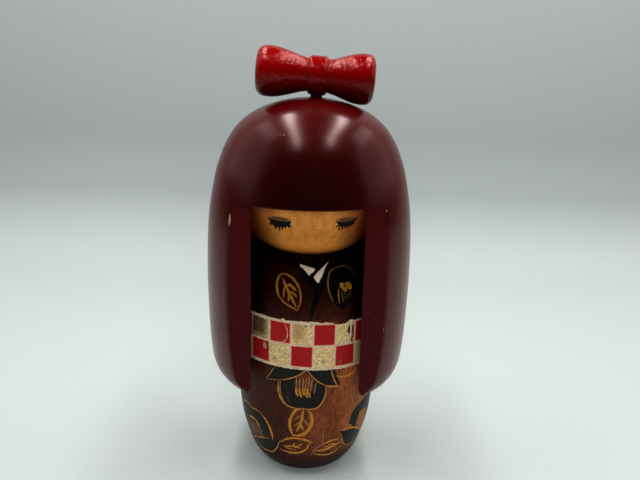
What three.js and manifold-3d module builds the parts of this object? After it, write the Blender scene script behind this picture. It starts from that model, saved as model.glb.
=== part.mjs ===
// Turned wooden kokeshi doll: a ball head in a hollow turned cap of hair, on a carved
// kimono body with a paper sash, and a spool-shaped hair bow on a peg.
// Millimetres, +Z up, the face looks along -Y. The origin is the middle of the base.
import * as THREE from 'three';
import { mergeVertices } from 'three/addons/utils/BufferGeometryUtils.js';
import Module from 'manifold-3d';

const wasm = await Module();
wasm.setup();

// ---- driving dimensions ----
const turnSegments = 48;          // facets round every turned piece
const smallSegments = 24;         // facets round pegs and their holes
const gluedGap = 0.3;             // space left between pieces that are glued together
const turningGap = 0.2;           // running clearance of a peg that turns in its hole

const footRadius = 14.3;          // flat base that the doll stands on
const waistRadius = 26.5;         // straight stretch of the body, under the sash
const waistLow = 43;
const waistHigh = 65;
const seatRadius = 15.6;          // rim of the dished seat that the head rests in
const seatHeight = 82.2;

const sashLow = 45.4;             // middle of the sash's lower edge
const sashHeight = 17.3;
const sashPaper = 0.35;
const sashSlope = -0.028;         // the strip was wrapped a little low on the +X side

const headBallRadius = 31.5;      // ball of the chin and cheeks
const headBallHeight = 110.4;
const headRadius = 30.3;          // largest radius, where the head meets the hair
const headStraightTop = 103;
const headTop = 117.6;

const hairBore = 30.67;           // inside of the hollow hair
const boreTop = 103;
const ceilingHeight = 118.2;
const hairTipRadius = 31.6;       // sharp lower edge of the side and back hair
const hairTipHeight = 35.7;
const fringeHeight = 101;         // lower edge of the fringe
const fringeFace = 24.9;          // the front is cut flat at this distance from the axis

const neckPegRadius = 5;
const neckPegLow = 66.5;
const neckPegHigh = 92;

const bowCentre = new THREE.Vector3(1.6, 0, 140.3);
const bowTilt = THREE.MathUtils.degToRad(3.5);   // the +X end of the bow hangs lower
const bowLongLobe = 20.9;         // from the middle of the band to the -X end
const bowShortLobe = 19.2;        // and to the +X end
const bowBandRadius = 6.4;
const bowBandHalf = 3.2;
const bowPegRadius = 2;
const bowPegTop = -1.6;           // from the middle of the bow, along the peg
const bowPegFoot = -14.4;

// ---- helpers ----
// Turns a profile of [radius, height] points into a closed body about the Z axis.
function turned(profile, segments = turnSegments) {
  const points = profile.map(([radius, height]) => new THREE.Vector2(radius, height));
  const geometry = new THREE.LatheGeometry(points, segments);
  geometry.rotateX(Math.PI / 2);
  return geometry;
}

// Points on a circle in the profile plane, from one angle to another in degrees.
function arc(centreRadius, centreHeight, radius, fromDegrees, toDegrees, steps) {
  const points = [];
  for (let step = 0; step <= steps; step += 1) {
    const degrees = fromDegrees + (toDegrees - fromDegrees) * step / steps;
    const angle = THREE.MathUtils.degToRad(degrees);
    points.push([centreRadius + radius * Math.cos(angle), centreHeight + radius * Math.sin(angle)]);
  }
  return points;
}

// A smooth run of points through a few chosen [radius, height] ones.
function smooth(points, count) {
  const curve = new THREE.SplineCurve(points.map(([radius, height]) => new THREE.Vector2(radius, height)));
  return curve.getPoints(count).map((point) => [point.x, point.y]);
}

// A plain round peg or drill along Z.
function rod(radius, low, high) {
  return turned([[0, low], [radius, low], [radius, high], [0, high]], smallSegments);
}

function toSolid(geometry) {
  const bare = geometry.clone();
  bare.deleteAttribute('normal');
  bare.deleteAttribute('uv');
  const merged = mergeVertices(bare, 1e-4);
  const vertProperties = new Float32Array(merged.attributes.position.array);
  const triVerts = new Uint32Array(merged.index.array);
  return new wasm.Manifold(new wasm.Mesh({ numProp: 3, vertProperties, triVerts }));
}

function toGeometry(solid) {
  const mesh = solid.getMesh();
  const geometry = new THREE.BufferGeometry();
  geometry.setAttribute('position', new THREE.BufferAttribute(mesh.vertProperties, 3));
  geometry.setIndex(new THREE.BufferAttribute(mesh.triVerts, 1));
  geometry.computeVertexNormals();
  return geometry;
}

function cut(geometry, ...tools) {
  let solid = toSolid(geometry);
  for (const tool of tools) solid = solid.subtract(toSolid(tool));
  return toGeometry(solid);
}

function finish(color, roughness) {
  return new THREE.MeshStandardMaterial({ color, roughness, metalness: 0 });
}

const doll = new THREE.Group();

function addPiece(name, geometry, material) {
  const mesh = new THREE.Mesh(geometry, material);
  mesh.name = name;
  doll.add(mesh);
  return mesh;
}

// Places a piece made about the bow's middle, its peg along Z, where the bow sits.
function placeOnBow(mesh) {
  mesh.position.copy(bowCentre);
  mesh.rotation.y = bowTilt;
}

// ---- body: one turning from the foot to the dished seat, drilled for the neck peg ----
function bodyProfile() {
  const skirt = smooth([
    [footRadius, 0], [15.9, 0.9], [17.4, 2.4], [19.9, 6.1], [22.3, 13], [23.8, 19], [24.8, 27], [25.8, 36],
    [waistRadius, waistLow],
  ], 10);
  const shoulder = smooth([
    [waistRadius, waistHigh], [26.1, 70], [24.6, 75.2], [21.6, 79.4], [18.4, 81.5], [seatRadius, seatHeight],
  ], 7);
  const seatBall = headBallRadius + 0.6;
  const rimAngle = THREE.MathUtils.radToDeg(Math.acos(seatRadius / seatBall));
  const seat = arc(0, headBallHeight, seatBall, -rimAngle, -90, 3).slice(1);
  return [[0, 0], ...skirt, ...shoulder, ...seat];
}

const neckHole = rod(neckPegRadius + gluedGap, neckPegLow - gluedGap, seatHeight + 1);
addPiece('body', cut(turned(bodyProfile()), neckHole), finish(0x4a2012, 0.4));

// ---- sash: a strip of patterned paper wrapped round the body, sloping a little ----
function sashGeometry() {
  const inside = waistRadius + gluedGap;
  const outside = inside + sashPaper;
  const low = sashLow;
  const top = sashLow + sashHeight;
  const geometry = turned([[inside, low], [outside, low], [outside, top], [inside, top], [inside, low]]);
  const slope = new THREE.Matrix4().makeShear(0, sashSlope, 0, 0, 0, 0);
  return geometry.applyMatrix4(slope);
}

addPiece('obi', sashGeometry(), finish(0xb9a07c, 0.6));

// ---- neck peg: a dowel glued into the body, on which the head turns ----
addPiece('neck_dowel', rod(neckPegRadius, neckPegLow, neckPegHigh), finish(0xd0a878, 0.6));

// ---- head: a ball below, a short straight band, and a crown that fits the hair ----
function headProfile() {
  const cheekAngle = THREE.MathUtils.radToDeg(Math.acos(headRadius / headBallRadius));
  const ball = arc(0, headBallHeight, headBallRadius, -90, -cheekAngle, 9);
  const crown = smooth([
    [headRadius, headStraightTop], [29.3, 106.2], [26.8, 110], [22.4, 113.8], [16, 116.7], [9, headTop],
  ], 6);
  return [...ball, ...crown, [0, headTop]];
}

const headSocket = rod(neckPegRadius + turningGap, headBallHeight - headBallRadius - 1, neckPegHigh + 0.5);
addPiece('head', cut(turned(headProfile()), headSocket), finish(0xc88a4a, 0.5));

// ---- hair: a hollow turning, its front sawn flat below the fringe ----
function hairProfile() {
  const outside = smooth([
    [hairTipRadius, hairTipHeight], [32.9, 37.5], [33.95, 40], [34.7, 43.5], [35.45, 52], [35.85, 63],
    [36, 72], [35.8, 84], [35, 95.3], [33.1, 106.3], [28.7, 118.7], [24.7, 124.3], [19.2, 128.5],
    [12.9, 131.2], [6.2, 132.8], [0, 133.3],
  ], 22);
  outside[outside.length - 1][0] = 0;
  const ceiling = smooth([
    [0, ceilingHeight], [9.4, 118], [16.5, 117.1], [22.8, 114.2], [27.2, 110.4], [29.8, 106.4],
    [hairBore, boreTop],
  ], 7);
  ceiling[0][0] = 0;
  return [...outside, ...ceiling, [hairBore, hairTipHeight + 1.7], [hairTipRadius, hairTipHeight]];
}

function frontCut() {
  const halfWidth = 45;
  const depth = 20;
  const low = hairTipHeight - 5;
  const block = new THREE.BoxGeometry(2 * halfWidth, depth, fringeHeight - low);
  block.translate(0, -fringeFace - depth / 2, (fringeHeight + low) / 2);
  return block;
}

function bowPegHole() {
  const hole = rod(bowPegRadius + turningGap, bowPegFoot - 0.5, -bowBandRadius + 2);
  hole.rotateY(bowTilt);
  hole.translate(bowCentre.x, bowCentre.y, bowCentre.z);
  return hole;
}

addPiece('hair', cut(turned(hairProfile()), frontCut(), bowPegHole()), finish(0x3a0a0d, 0.3));

// ---- bow: a spool with a raised band in the middle, drilled from below for its peg ----
// A lobe of the bow, from the middle of the band out to the end of the given length.
function bowLobe(length) {
  const flared = [[5.4, 0], [5.8, 0.125], [7.3, 0.4], [8.2, 0.59], [8.35, 0.775], [7.7, 0.91], [6.2, 0.975]];
  const reach = length - bowBandHalf;
  const flare = smooth(flared.map(([radius, along]) => [radius, bowBandHalf + reach * along]), 8);
  const band = [[bowBandRadius, 0], [bowBandRadius, bowBandHalf - 0.5], [bowBandRadius - 0.5, bowBandHalf]];
  return [...band, ...flare, [0, length]];
}

function bowGeometry() {
  const upper = bowLobe(bowShortLobe);
  const lower = bowLobe(bowLongLobe).slice(1).reverse().map(([radius, height]) => [radius, -height]);
  const spool = turned([...lower, ...upper], 36);
  spool.rotateY(Math.PI / 2);
  return cut(spool, rod(bowPegRadius + gluedGap, -bowBandRadius - 1, bowPegTop + gluedGap));
}

placeOnBow(addPiece('bow', bowGeometry(), finish(0xa01014, 0.15)));

// ---- bow peg: a thin dowel glued into the bow, on which the bow turns in the crown ----
placeOnBow(addPiece('bow_peg', rod(bowPegRadius, bowPegFoot, bowPegTop), finish(0x7a1512, 0.4)));

export default doll;
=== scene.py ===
# A turned wooden kokeshi doll: carved kimono body, paper sash, ball head, hollow turned
# hair with its front sawn flat, and a red spool bow on a peg. The sections follow the
# doll as it is put together. Sizes are in millimetres, turned to metres by MM.
import math
import random

import bmesh
import bpy
import numpy as np
from mathutils import Matrix, Vector
from mathutils.geometry import delaunay_2d_cdt


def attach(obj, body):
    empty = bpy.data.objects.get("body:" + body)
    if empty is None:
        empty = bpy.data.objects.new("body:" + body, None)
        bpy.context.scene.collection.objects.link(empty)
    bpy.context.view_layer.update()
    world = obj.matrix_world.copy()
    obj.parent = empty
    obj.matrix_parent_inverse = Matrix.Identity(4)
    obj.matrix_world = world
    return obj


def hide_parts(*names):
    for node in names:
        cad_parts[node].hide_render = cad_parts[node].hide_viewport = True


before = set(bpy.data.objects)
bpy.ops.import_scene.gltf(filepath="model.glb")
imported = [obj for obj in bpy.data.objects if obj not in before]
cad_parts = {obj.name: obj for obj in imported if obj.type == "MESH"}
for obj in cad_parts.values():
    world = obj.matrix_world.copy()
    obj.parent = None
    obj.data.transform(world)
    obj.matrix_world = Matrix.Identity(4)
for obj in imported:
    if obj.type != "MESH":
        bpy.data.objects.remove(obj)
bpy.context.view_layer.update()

# ---------------------------------------------------------------- neck dowel
# A plain dowel of pale wood, cut from rod and glued into the body. Its ends are
# chamfered by hand, and the head turns on the part that stands out of the body.
MM = 0.001
DOWEL_RADIUS = 5.0
DOWEL_LOW = 66.5
DOWEL_HIGH = 92.0
DOWEL_CHAMFER = 0.6
SHARP_ANGLE = math.radians(35)       # edges sharper than this stay crisp


def smooth_run(points, steps):
    """Points on a smooth curve through the given ones, ends included."""
    run = []
    last = len(points) - 1
    for k in range(last):
        before = points[max(k - 1, 0)]
        start, end = points[k], points[k + 1]
        after = points[min(k + 2, last)]
        for step in range(steps):
            t = step / steps
            run.append(tuple(
                0.5 * (2 * b + (c - a) * t + (2 * a - 5 * b + 4 * c - d) * t * t
                       + (3 * b - a - 3 * c + d) * t ** 3)
                for a, b, c, d in zip(before, start, end, after)))
    run.append(tuple(points[last]))
    return run


def turned_mesh(name, profile, columns):
    """A closed turning about Z from a (radius, height) profile that starts and ends on the axis."""
    rings = profile[1:-1]
    verts = [(0, 0, profile[0][1] * MM)]
    for radius, height in rings:
        for column in range(columns):
            angle = 2 * math.pi * column / columns
            verts.append((radius * math.sin(angle) * MM, -radius * math.cos(angle) * MM, height * MM))
    verts.append((0, 0, profile[-1][1] * MM))
    faces = []
    for column in range(columns):
        beside = (column + 1) % columns
        faces.append((0, 1 + beside, 1 + column))
        for ring in range(len(rings) - 1):
            low, high = 1 + ring * columns, 1 + (ring + 1) * columns
            faces.append((low + column, low + beside, high + beside, high + column))
        top = 1 + (len(rings) - 1) * columns
        faces.append((top + column, top + beside, len(verts) - 1))
    mesh = bpy.data.meshes.new(name)
    mesh.from_pydata(verts, [], faces)
    mesh.shade_smooth()
    mesh.set_sharp_from_angle(angle=SHARP_ANGLE)
    return mesh


def add_piece(name, mesh, body, node, slot, *materials):
    """Puts a finished piece on the doll in place of its CAD node."""
    piece = bpy.data.objects.new(name, mesh)
    bpy.context.scene.collection.objects.link(piece)
    for material in materials:
        mesh.materials.append(material)
    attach(piece, body)
    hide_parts(node)


def new_group(name, inputs, outputs):
    """An empty node group with named inputs (name: default) and named colour, value or vector outputs."""
    tree = bpy.data.node_groups.new(name, "ShaderNodeTree")
    for label, value in inputs.items():
        kind = "NodeSocketFloat" if isinstance(value, (int, float)) else "NodeSocketVector"
        tree.interface.new_socket(label, in_out="INPUT", socket_type=kind).default_value = value
    for label, kind in outputs.items():
        tree.interface.new_socket(label, in_out="OUTPUT", socket_type=kind)
    return tree, tree.nodes.new("NodeGroupInput"), tree.nodes.new("NodeGroupOutput")


def add_node(tree, kind, inputs=(), **settings):
    """A node with its settings; inputs is {socket: value or output socket}."""
    node = tree.nodes.new("ShaderNode" + kind)
    for label, value in settings.items():
        setattr(node, label, value)
    for socket, value in dict(inputs).items():
        if isinstance(value, bpy.types.NodeSocket):
            tree.links.new(value, node.inputs[socket])
        else:
            node.inputs[socket].default_value = value
    return node


def math_node(tree, operation, *values):
    return add_node(tree, "Math", dict(enumerate(values)), operation=operation).outputs[0]


def multiply(tree, first, second):
    return math_node(tree, "MULTIPLY", first, second)


def mix_colours(tree, factor, first, second):
    node = tree.nodes.new("ShaderNodeMix")
    node.data_type = "RGBA"
    for socket, value in zip((node.inputs[0], node.inputs[6], node.inputs[7]), (factor, first, second)):
        if isinstance(value, bpy.types.NodeSocket):
            tree.links.new(value, socket)
        elif isinstance(value, (int, float)):
            socket.default_value = value
        else:
            socket.default_value = (*value, 1)
    return node.outputs[2]


def spread(tree, value, low, high, bottom=0.0, top=1.0):
    """The value stretched from low..high to bottom..top and held there."""
    sockets = {"Value": value, "From Min": low, "From Max": high, "To Min": bottom, "To Max": top}
    return add_node(tree, "MapRange", sockets, clamp=True).outputs[0]


def object_place(tree):
    return tree.nodes.new("ShaderNodeTexCoord").outputs["Object"]


def build_grain_group():
    """Wood fibre and pores that run along Z. Width and Length are those of one fibre, in mm."""
    outputs = {"Fibre": "NodeSocketFloat", "Pores": "NodeSocketFloat", "Bands": "NodeSocketFloat"}
    tree, given, out = new_group("Wood grain", {"Width": 0.3, "Length": 8.0, "Band Width": 4.0}, outputs)
    place = object_place(tree)
    across = math_node(tree, "DIVIDE", 1000.0, given.outputs["Width"])
    along = math_node(tree, "DIVIDE", 1000.0, given.outputs["Length"])
    scale = add_node(tree, "CombineXYZ", {0: across, 1: across, 2: along}).outputs[0]
    fibre_place = add_node(tree, "VectorMath", {0: place, 1: scale}, operation="MULTIPLY").outputs[0]
    fibre = add_node(tree, "TexNoise", {"Vector": fibre_place, "Scale": 1.0, "Detail": 3.0,
                                        "Distortion": 0.3})
    tree.links.new(spread(tree, fibre.outputs[0], 0.3, 0.7), out.inputs["Fibre"])
    pore_scale = add_node(tree, "VectorMath", {0: fibre_place, 1: (2.3, 2.3, 3.1)}, operation="MULTIPLY")
    pores = add_node(tree, "TexNoise", {"Vector": pore_scale.outputs[0], "Scale": 1.0, "Detail": 1.0})
    tree.links.new(spread(tree, pores.outputs[0], 0.6, 0.72), out.inputs["Pores"])
    band = math_node(tree, "DIVIDE", 1000.0, given.outputs["Band Width"])
    slow = math_node(tree, "DIVIDE", along, 6.0)
    band_scale = add_node(tree, "CombineXYZ", {0: band, 1: band, 2: slow}).outputs[0]
    band_place = add_node(tree, "VectorMath", {0: place, 1: band_scale}, operation="MULTIPLY").outputs[0]
    bands = add_node(tree, "TexNoise", {"Vector": band_place, "Scale": 1.0, "Detail": 2.0})
    tree.links.new(spread(tree, bands.outputs[0], 0.3, 0.7), out.inputs["Bands"])
    return tree


GRAIN = build_grain_group()


def use_group(tree, group, **inputs):
    node = tree.nodes.new("ShaderNodeGroup")
    node.node_tree = group
    for label, value in inputs.items():
        socket = node.inputs[label.replace("_", " ")]
        if isinstance(value, bpy.types.NodeSocket):
            tree.links.new(value, socket)
        else:
            socket.default_value = value
    return node.outputs


def new_material(name, colour, roughness, **sockets):
    """A Principled material; constants go straight on the shader's own sockets."""
    material = bpy.data.materials.new(name)
    material.use_nodes = True
    shader = material.node_tree.nodes["Principled BSDF"]
    shader.inputs["Base Color"].default_value = (*colour, 1)
    shader.inputs["Roughness"].default_value = roughness
    for label, value in sockets.items():
        shader.inputs[label.replace("_", " ")].default_value = value
    return material, material.node_tree, shader


def add_bump(tree, shader, height, depth_mm):
    bump = add_node(tree, "Bump", {"Height": height, "Distance": depth_mm * MM})
    tree.links.new(bump.outputs[0], shader.inputs["Normal"])


def make_plain_wood():
    material, tree, shader = new_material("plain wood", (0.6, 0.4, 0.22), 0.65)
    grain = use_group(tree, GRAIN, Width=0.35, Length=9.0, Band_Width=2.5)
    pale = mix_colours(tree, grain["Bands"], (0.55, 0.34, 0.17), (0.68, 0.47, 0.27))
    colour = mix_colours(tree, multiply(tree, grain["Pores"], 0.5), pale, (0.33, 0.18, 0.08))
    tree.links.new(colour, shader.inputs["Base Color"])
    add_bump(tree, shader, grain["Fibre"], 0.05)
    return material


PLAIN_WOOD = make_plain_wood()

dowel_profile = [
    (0, DOWEL_LOW), (DOWEL_RADIUS - DOWEL_CHAMFER, DOWEL_LOW), (DOWEL_RADIUS, DOWEL_LOW + DOWEL_CHAMFER),
    (DOWEL_RADIUS, DOWEL_HIGH - DOWEL_CHAMFER), (DOWEL_RADIUS - DOWEL_CHAMFER, DOWEL_HIGH), (0, DOWEL_HIGH),
]
add_piece("turned_neck_dowel", turned_mesh("neck dowel", dowel_profile, 64), "root", "neck_dowel",
          "plain_wood", PLAIN_WOOD)

# ---------------------------------------------------------------- body
# One turning of close-grained wood, stained red-brown. The kimono's flowers and leaves
# are cut into it with a V-gouge and painted. The skirt has satin varnish, the chest hardly any.
SKIRT = [(15.9, 0.9), (17.4, 2.4), (19.9, 6.1), (22.3, 13), (23.8, 19), (24.8, 27), (25.8, 36), (26.5, 43)]
SHOULDER = [(26.5, 65), (26.1, 70), (24.6, 75.2), (21.6, 79.4), (18.4, 81.5), (15.8, 82.15)]
FOOT_RADIUS = 14.2
SEAT_BALL = (110.4, 32.1)            # height of the centre and radius of the dished seat
NECK_HOLE_RADIUS = 5.3
NECK_HOLE_MOUTH = 78.8
NECK_HOLE_FOOT = 66.2
WALL_COLUMNS = 180
WALL_ROW = 1.1                       # height of one row of the wall
PATTERN_MM_PER_DEGREE = 0.45         # the wall laid out flat
CUT_STEEPNESS = 0.62                 # depth of a cut for each mm of its half width
CUT_TAPER = 0.25                     # share of a cut's length over which each end thins
CLOSEST_POINTS = 0.02                # points of a cut lie further apart than this
AXIS_GAP = 0.5                       # the last ring round the axis, which is then filled
SLOPE_REACH = 0.4                    # the wall's slope is taken this far up and down
WELD_REACH = 2e-3 * MM               # points closer than this become one
VARNISH_FADE = (0.052, 0.066)        # metres up the doll, where the varnish thins out
CHEST_START = 0.056                  # metres up the doll, where the painted shade on the chest begins
PAINTS = ("stain", "black", "white", "gold", "pale")

gouge = random.Random(11)
shapes = []                          # (paint, outline, middle line, half widths), later ones lie on top


def flat(degrees, height):
    return degrees * PATTERN_MM_PER_DEGREE, height


def area(paint, *runs, steps=5):
    """A painted area; each run of (degrees, height) points is smooth, with corners between runs."""
    outline = []
    for run in runs:
        points = smooth_run(run, steps) if len(run) > 2 else list(run)
        outline += [flat(*point) for point in points[:-1]]
    shapes.append((paint, outline, None, None))


def cut(points, width, paint="gold", thin_start=0.3, thin_end=0.3, wobble=0.17, steps=5):
    """A gouge cut along (degrees, height) points, fattest in the middle, with slightly uneven edges."""
    if len(points) == 2:
        points = [points[0], *points]
    points = smooth_run(points, steps)
    middle = []
    for point in points:
        place = Vector(flat(*point))
        if not middle or (place - middle[-1]).length > CLOSEST_POINTS:
            middle.append(place)
    halves = []
    for k in range(len(middle)):
        along = k / (len(middle) - 1)
        taper = min(1.0, thin_start + along / CUT_TAPER * (1 - thin_start),
                    thin_end + (1 - along) / CUT_TAPER * (1 - thin_end))
        halves.append(width / 2 * taper * (1 + gouge.uniform(-wobble, wobble)))
    left, right = [], []
    for k, place in enumerate(middle):
        ahead = middle[min(k + 1, len(middle) - 1)] - middle[max(k - 1, 0)]
        side = Vector((-ahead.y, ahead.x)).normalized() * halves[k]
        left.append(tuple(place + side))
        right.append(tuple(place - side))
    shapes.append((paint, left + right[::-1], [tuple(place) for place in middle], halves))


# Collar: black bands that cross over the chest, with two corners of the white under-collar.
area("black", [(-180, 82.15), (-180, 80.2)], [(-180, 80.2), (-60, 80.4)],
     [(-60, 80.4), (-30, 80.3), (-18, 80)],
     [(-18, 80), (-11, 79.5), (-5, 77.2), (0, 75.3), (6, 73.6)], [(6, 73.6), (4.5, 70), (3, 67), (1.2, 62)],
     [(1.2, 62), (3.2, 62)], [(3.2, 62), (5.6, 65.5), (8.5, 69.5), (12, 73), (16, 76.5), (22, 79.2)],
     [(22, 79.2), (30, 80), (60, 80.4)], [(60, 80.4), (180, 80.2)], [(180, 80.2), (180, 82.15)],
     [(180, 82.15), (-180, 82.15)])
area("white", [(-7, 80.4), (-3, 80.1), (2, 79.7), (6, 79.4)],
     [(6, 79.4), (6.2, 78.9), (4.5, 78.3), (2.6, 77.9)],
     [(2.6, 77.9), (1.7, 77.3)], [(1.7, 77.3), (0.3, 77.8), (-2.5, 78.9), (-6.8, 79.8)],
     [(-6.8, 79.8), (-7, 80.4)])
area("white", [(5, 77), (8, 78.2), (12, 79.3), (16, 80.2), (21, 81)],
     [(21, 81), (17, 80), (14.5, 78.9), (12, 77.3)],
     [(12, 77.3), (10, 76.1), (8.7, 75.2)], [(8.7, 75.2), (6.8, 75.9), (5, 77)])

# Leaf on the left of the chest.
cut([(-20.5, 77.5), (-22.5, 76.6), (-23.3, 75), (-22.6, 72.9), (-21, 71), (-19.2, 69.9)], 0.85)
cut([(-19.8, 70.4), (-17, 69), (-13, 67.9), (-9, 67), (-6.4, 66.3)], 0.62)
cut([(-21, 77.4), (-16, 77.2), (-11, 76.3), (-7, 74.6), (-4.8, 72.5), (-4.2, 70), (-5, 68), (-6.3, 66.4)],
    0.72)
cut([(-19.6, 76.2), (-16.5, 74.4), (-13, 72), (-10, 69.8), (-7, 67.3)], 1.0, thin_start=0.2)
cut([(-16.2, 74.3), (-12.5, 74.3), (-10, 73.6), (-7.4, 72.6)], 0.85)
cut([(-12.8, 72.3), (-9.6, 71.9), (-7, 70.7)], 0.75)
cut([(-16.8, 74), (-16.9, 72), (-16.7, 70.2)], 0.65)
cut([(-13.8, 72.2), (-13, 70.8), (-13, 69.1)], 0.65)

# Camellia on the right of the chest.
area("black", [(15.9, 75), (17.5, 77.2), (20.5, 78.8), (26, 79.3), (33, 79.4), (39, 78.3)],
     [(39, 78.3), (42, 75), (40, 71.5), (34, 68.3), (26, 66.3)],
     [(26, 66.3), (21, 68.2), (18, 70.8), (16.2, 73), (15.9, 75)])
cut([(19.5, 69.2), (17.6, 71), (16.1, 73.2), (15.9, 75.2), (17.2, 77.2), (20, 78.6), (24, 79.1)], 0.42)
cut([(23, 79.1), (28, 79.4), (34, 79.4), (39, 78.3), (41.5, 76)], 0.18, "pale")
area("gold", [(24.8, 74), (25.8, 74.9), (27.6, 74.9), (29.5, 74.5)],
     [(29.5, 74.5), (28.4, 73.6), (26.2, 73.1), (24.8, 74)])
area("gold", [(29.8, 74.5), (31.8, 74.9), (34.3, 74.6), (35.7, 73.5)],
     [(35.7, 73.5), (34.6, 72.4), (31.7, 72.8), (29.8, 74.5)])
area("gold", [(26.6, 73.2), (28.8, 73.6), (31.2, 73.2)],
     [(31.2, 73.2), (30.8, 72.1), (28.6, 72), (26.6, 73.2)])
cut([(23.9, 73.2), (23.6, 71), (24.3, 68.3)], 0.5)
cut([(26.2, 72.4), (26.6, 70.4), (27.3, 68.3)], 0.22)
cut([(28.6, 71.9), (29, 70.4), (29, 69.2)], 0.18, "pale")
cut([(31.2, 72.2), (31.5, 71), (31.6, 69.6)], 0.18, "pale")
cut([(33.4, 72.4), (34, 71), (33.8, 69.8)], 0.16, "pale")

# Camellia below the sash: a cup petal between two side petals, with stamens.
area("black", [(-18.8, 40.8), (-20, 38.8), (-20, 36.4), (-18.6, 33.6), (-15.6, 31.8), (-11, 30.7),
               (-5, 30.5)],
     [(-5, 30.5), (0, 30.5), (5, 30.2), (9, 30.4)],
     [(9, 30.4), (12.5, 31.7), (15.2, 34), (16.4, 36.8), (15.6, 39.3)],
     [(15.6, 39.3), (10, 41), (5, 43.2), (1.8, 45.2)],
     [(1.8, 45.2), (-5, 43.2), (-12, 41.8), (-18.8, 40.8)])
area("black", [(-22.4, 46), (-26, 42.8), (-30, 40.2)], [(-30, 40.2), (-24.5, 40.4), (-18.5, 40.8)],
     [(-18.5, 40.8), (-10, 42.2), (-5, 43.3), (1.6, 45.4)], [(1.6, 45.4), (1.6, 46)],
     [(1.6, 46), (-22.4, 46)])
area("black", [(2, 46), (2, 45.3)], [(2, 45.3), (4, 43.8), (7, 42.2), (13.5, 39.9), (17, 39), (21, 38.7),
                                     (26.4, 38.5)],
     [(26.4, 38.5), (25.6, 41), (23, 44), (22, 46)], [(22, 46), (2, 46)])
area("stain", [(-7, 42.4), (-3, 43.6), (0.8, 44.2), (4, 43), (6.6, 41.2)],
     [(6.6, 41.2), (6, 38.2), (4.6, 36)],
     [(4.6, 36), (0, 37.6), (-6.8, 36.4)], [(-6.8, 36.4), (-7.6, 40), (-7, 42.4)])
for top, foot, lean in ((-6, -6.4, 0.3), (-3.6, -4, 0.4), (-1.1, -1.6, 0.5), (1.4, 0.3, 0.5),
                        (3.6, 2.2, 0.5), (6, 4.4, 0.6)):
    cut([(top, 42.6), (foot + lean, 40), (foot, 37.6)], 0.27, "pale", wobble=0.25)
for start, end, low, width in ((-6.4, -4.6, 35.2, 0.72), (-3.9, -1.9, 34.8, 0.66), (-1.4, 0.4, 35.8, 0.6),
                               (0, 2.6, 34.7, 0.78), (2.2, 4.6, 34.8, 0.74)):
    cut([(start, 38.4), ((start + end) / 2 - 0.4, 36.6), (end, low)], width, thin_start=0.6, wobble=0.15)
cut([(8.6, 41), (7.8, 38.6), (7.1, 36.2)], 0.3, "pale")
cut([(-19, 41), (-20.2, 38.8), (-20.2, 36.6), (-19, 34.2), (-16.5, 32.3), (-12.5, 31), (-7, 30.4),
     (-1, 30.4)], 0.52)
cut([(-18, 40.6), (-18.8, 38.2), (-18.3, 35.6), (-16.6, 33.2), (-14, 31.9)], 0.32, "pale")
cut([(-2, 30.5), (4, 30.2), (9, 30.4), (12.5, 31.8), (15.2, 34.2), (16.3, 36.8), (15.6, 39.4)], 0.5)
cut([(-22.3, 45.6), (-26, 42.8), (-30, 40.2)], 0.34, "pale")
cut([(-30, 40.1), (-25, 40.3), (-19, 40.7)], 0.26, "pale")
cut([(-18.6, 40.8), (-14, 41.4), (-10, 42.1), (-5, 43.3), (-1, 44.6), (1.6, 45.4)], 0.46)
cut([(1.6, 45.5), (4, 43.8), (7, 42.2), (10, 41), (13.5, 39.9), (17, 39)], 0.44)
cut([(15.5, 39.2), (19, 38.8), (22.5, 38.6), (26.6, 38.4)], 0.66, thin_end=0.5)
cut([(19.4, 45.6), (20.6, 43), (22.4, 40.8), (24.8, 38.9)], 0.5)
cut([(23.4, 42.6), (28, 41.8), (33, 41.6), (38, 42.4), (42, 43.6)], 0.6, thin_start=0.5)
cut([(-13.8, 35.2), (-12.4, 33.6), (-10.6, 32)], 0.13, "pale")

# Leaf hanging below that camellia.
cut([(-2, 30.2), (-6, 29.8), (-9, 27.8), (-11.2, 25.2), (-11.4, 22.6), (-10.2, 20.6), (-9.2, 19.2)], 1.1)
cut([(2.8, 29.4), (5.4, 28.4), (6.4, 26), (5.6, 23.4), (3, 21.2), (-1, 19.7), (-5, 19.2), (-9.6, 19)], 1.2)
cut([(-0.6, 30.2), (-1, 28), (-2, 25.6), (-3.4, 23.4), (-6, 20.8)], 0.85)
cut([(-1.6, 27.8), (-4.4, 27), (-8.2, 25.6)], 0.42, "pale")
cut([(-3, 24.8), (-5.6, 24), (-8.2, 23)], 0.4, "pale")
cut([(-1, 26.2), (1.6, 24.8), (4, 23.2)], 0.46, "pale")
cut([(-2.8, 24.2), (-1.6, 23), (-0.6, 21.8)], 0.75)

# Two leaves lying near the foot.
cut([(-20.6, 15), (-17, 16.4), (-12, 17.5), (-6, 17.9), (0, 17.5), (4, 16.8), (8.2, 16)], 0.9)
cut([(-22.6, 11.4), (-17, 10.9), (-12, 10.7), (-6, 10.9), (-1, 11.7), (2.6, 13), (4.6, 14.8), (6.8, 16.2)],
    0.95)
cut([(-18.4, 13.4), (-13, 13.8), (-8, 13.9), (-2, 13.2)], 0.75)
cut([(-17.6, 13), (-12, 12.5), (-6, 12.3)], 0.5)
cut([(-10, 13.8), (-8.6, 14.8), (-7.2, 15.6)], 0.55)
cut([(-6.5, 14), (-3.5, 14.7), (-0.8, 15.5)], 0.55)
cut([(7.6, 10.1), (9.6, 12), (14, 13.9), (19, 15.1), (25, 15.9), (33, 15.9)], 0.42, "pale")
cut([(17.5, 14.7), (22, 15.5), (27, 15.9), (31.5, 15.4)], 0.8)
cut([(9, 10.8), (14, 9.9), (20, 9.3), (26, 9.1), (32, 9.9), (37.4, 11.6)], 0.65)
cut([(10.2, 11.9), (16, 11.8), (22, 12), (28, 12.8), (35.6, 14)], 1.0, thin_start=0.2)
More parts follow.
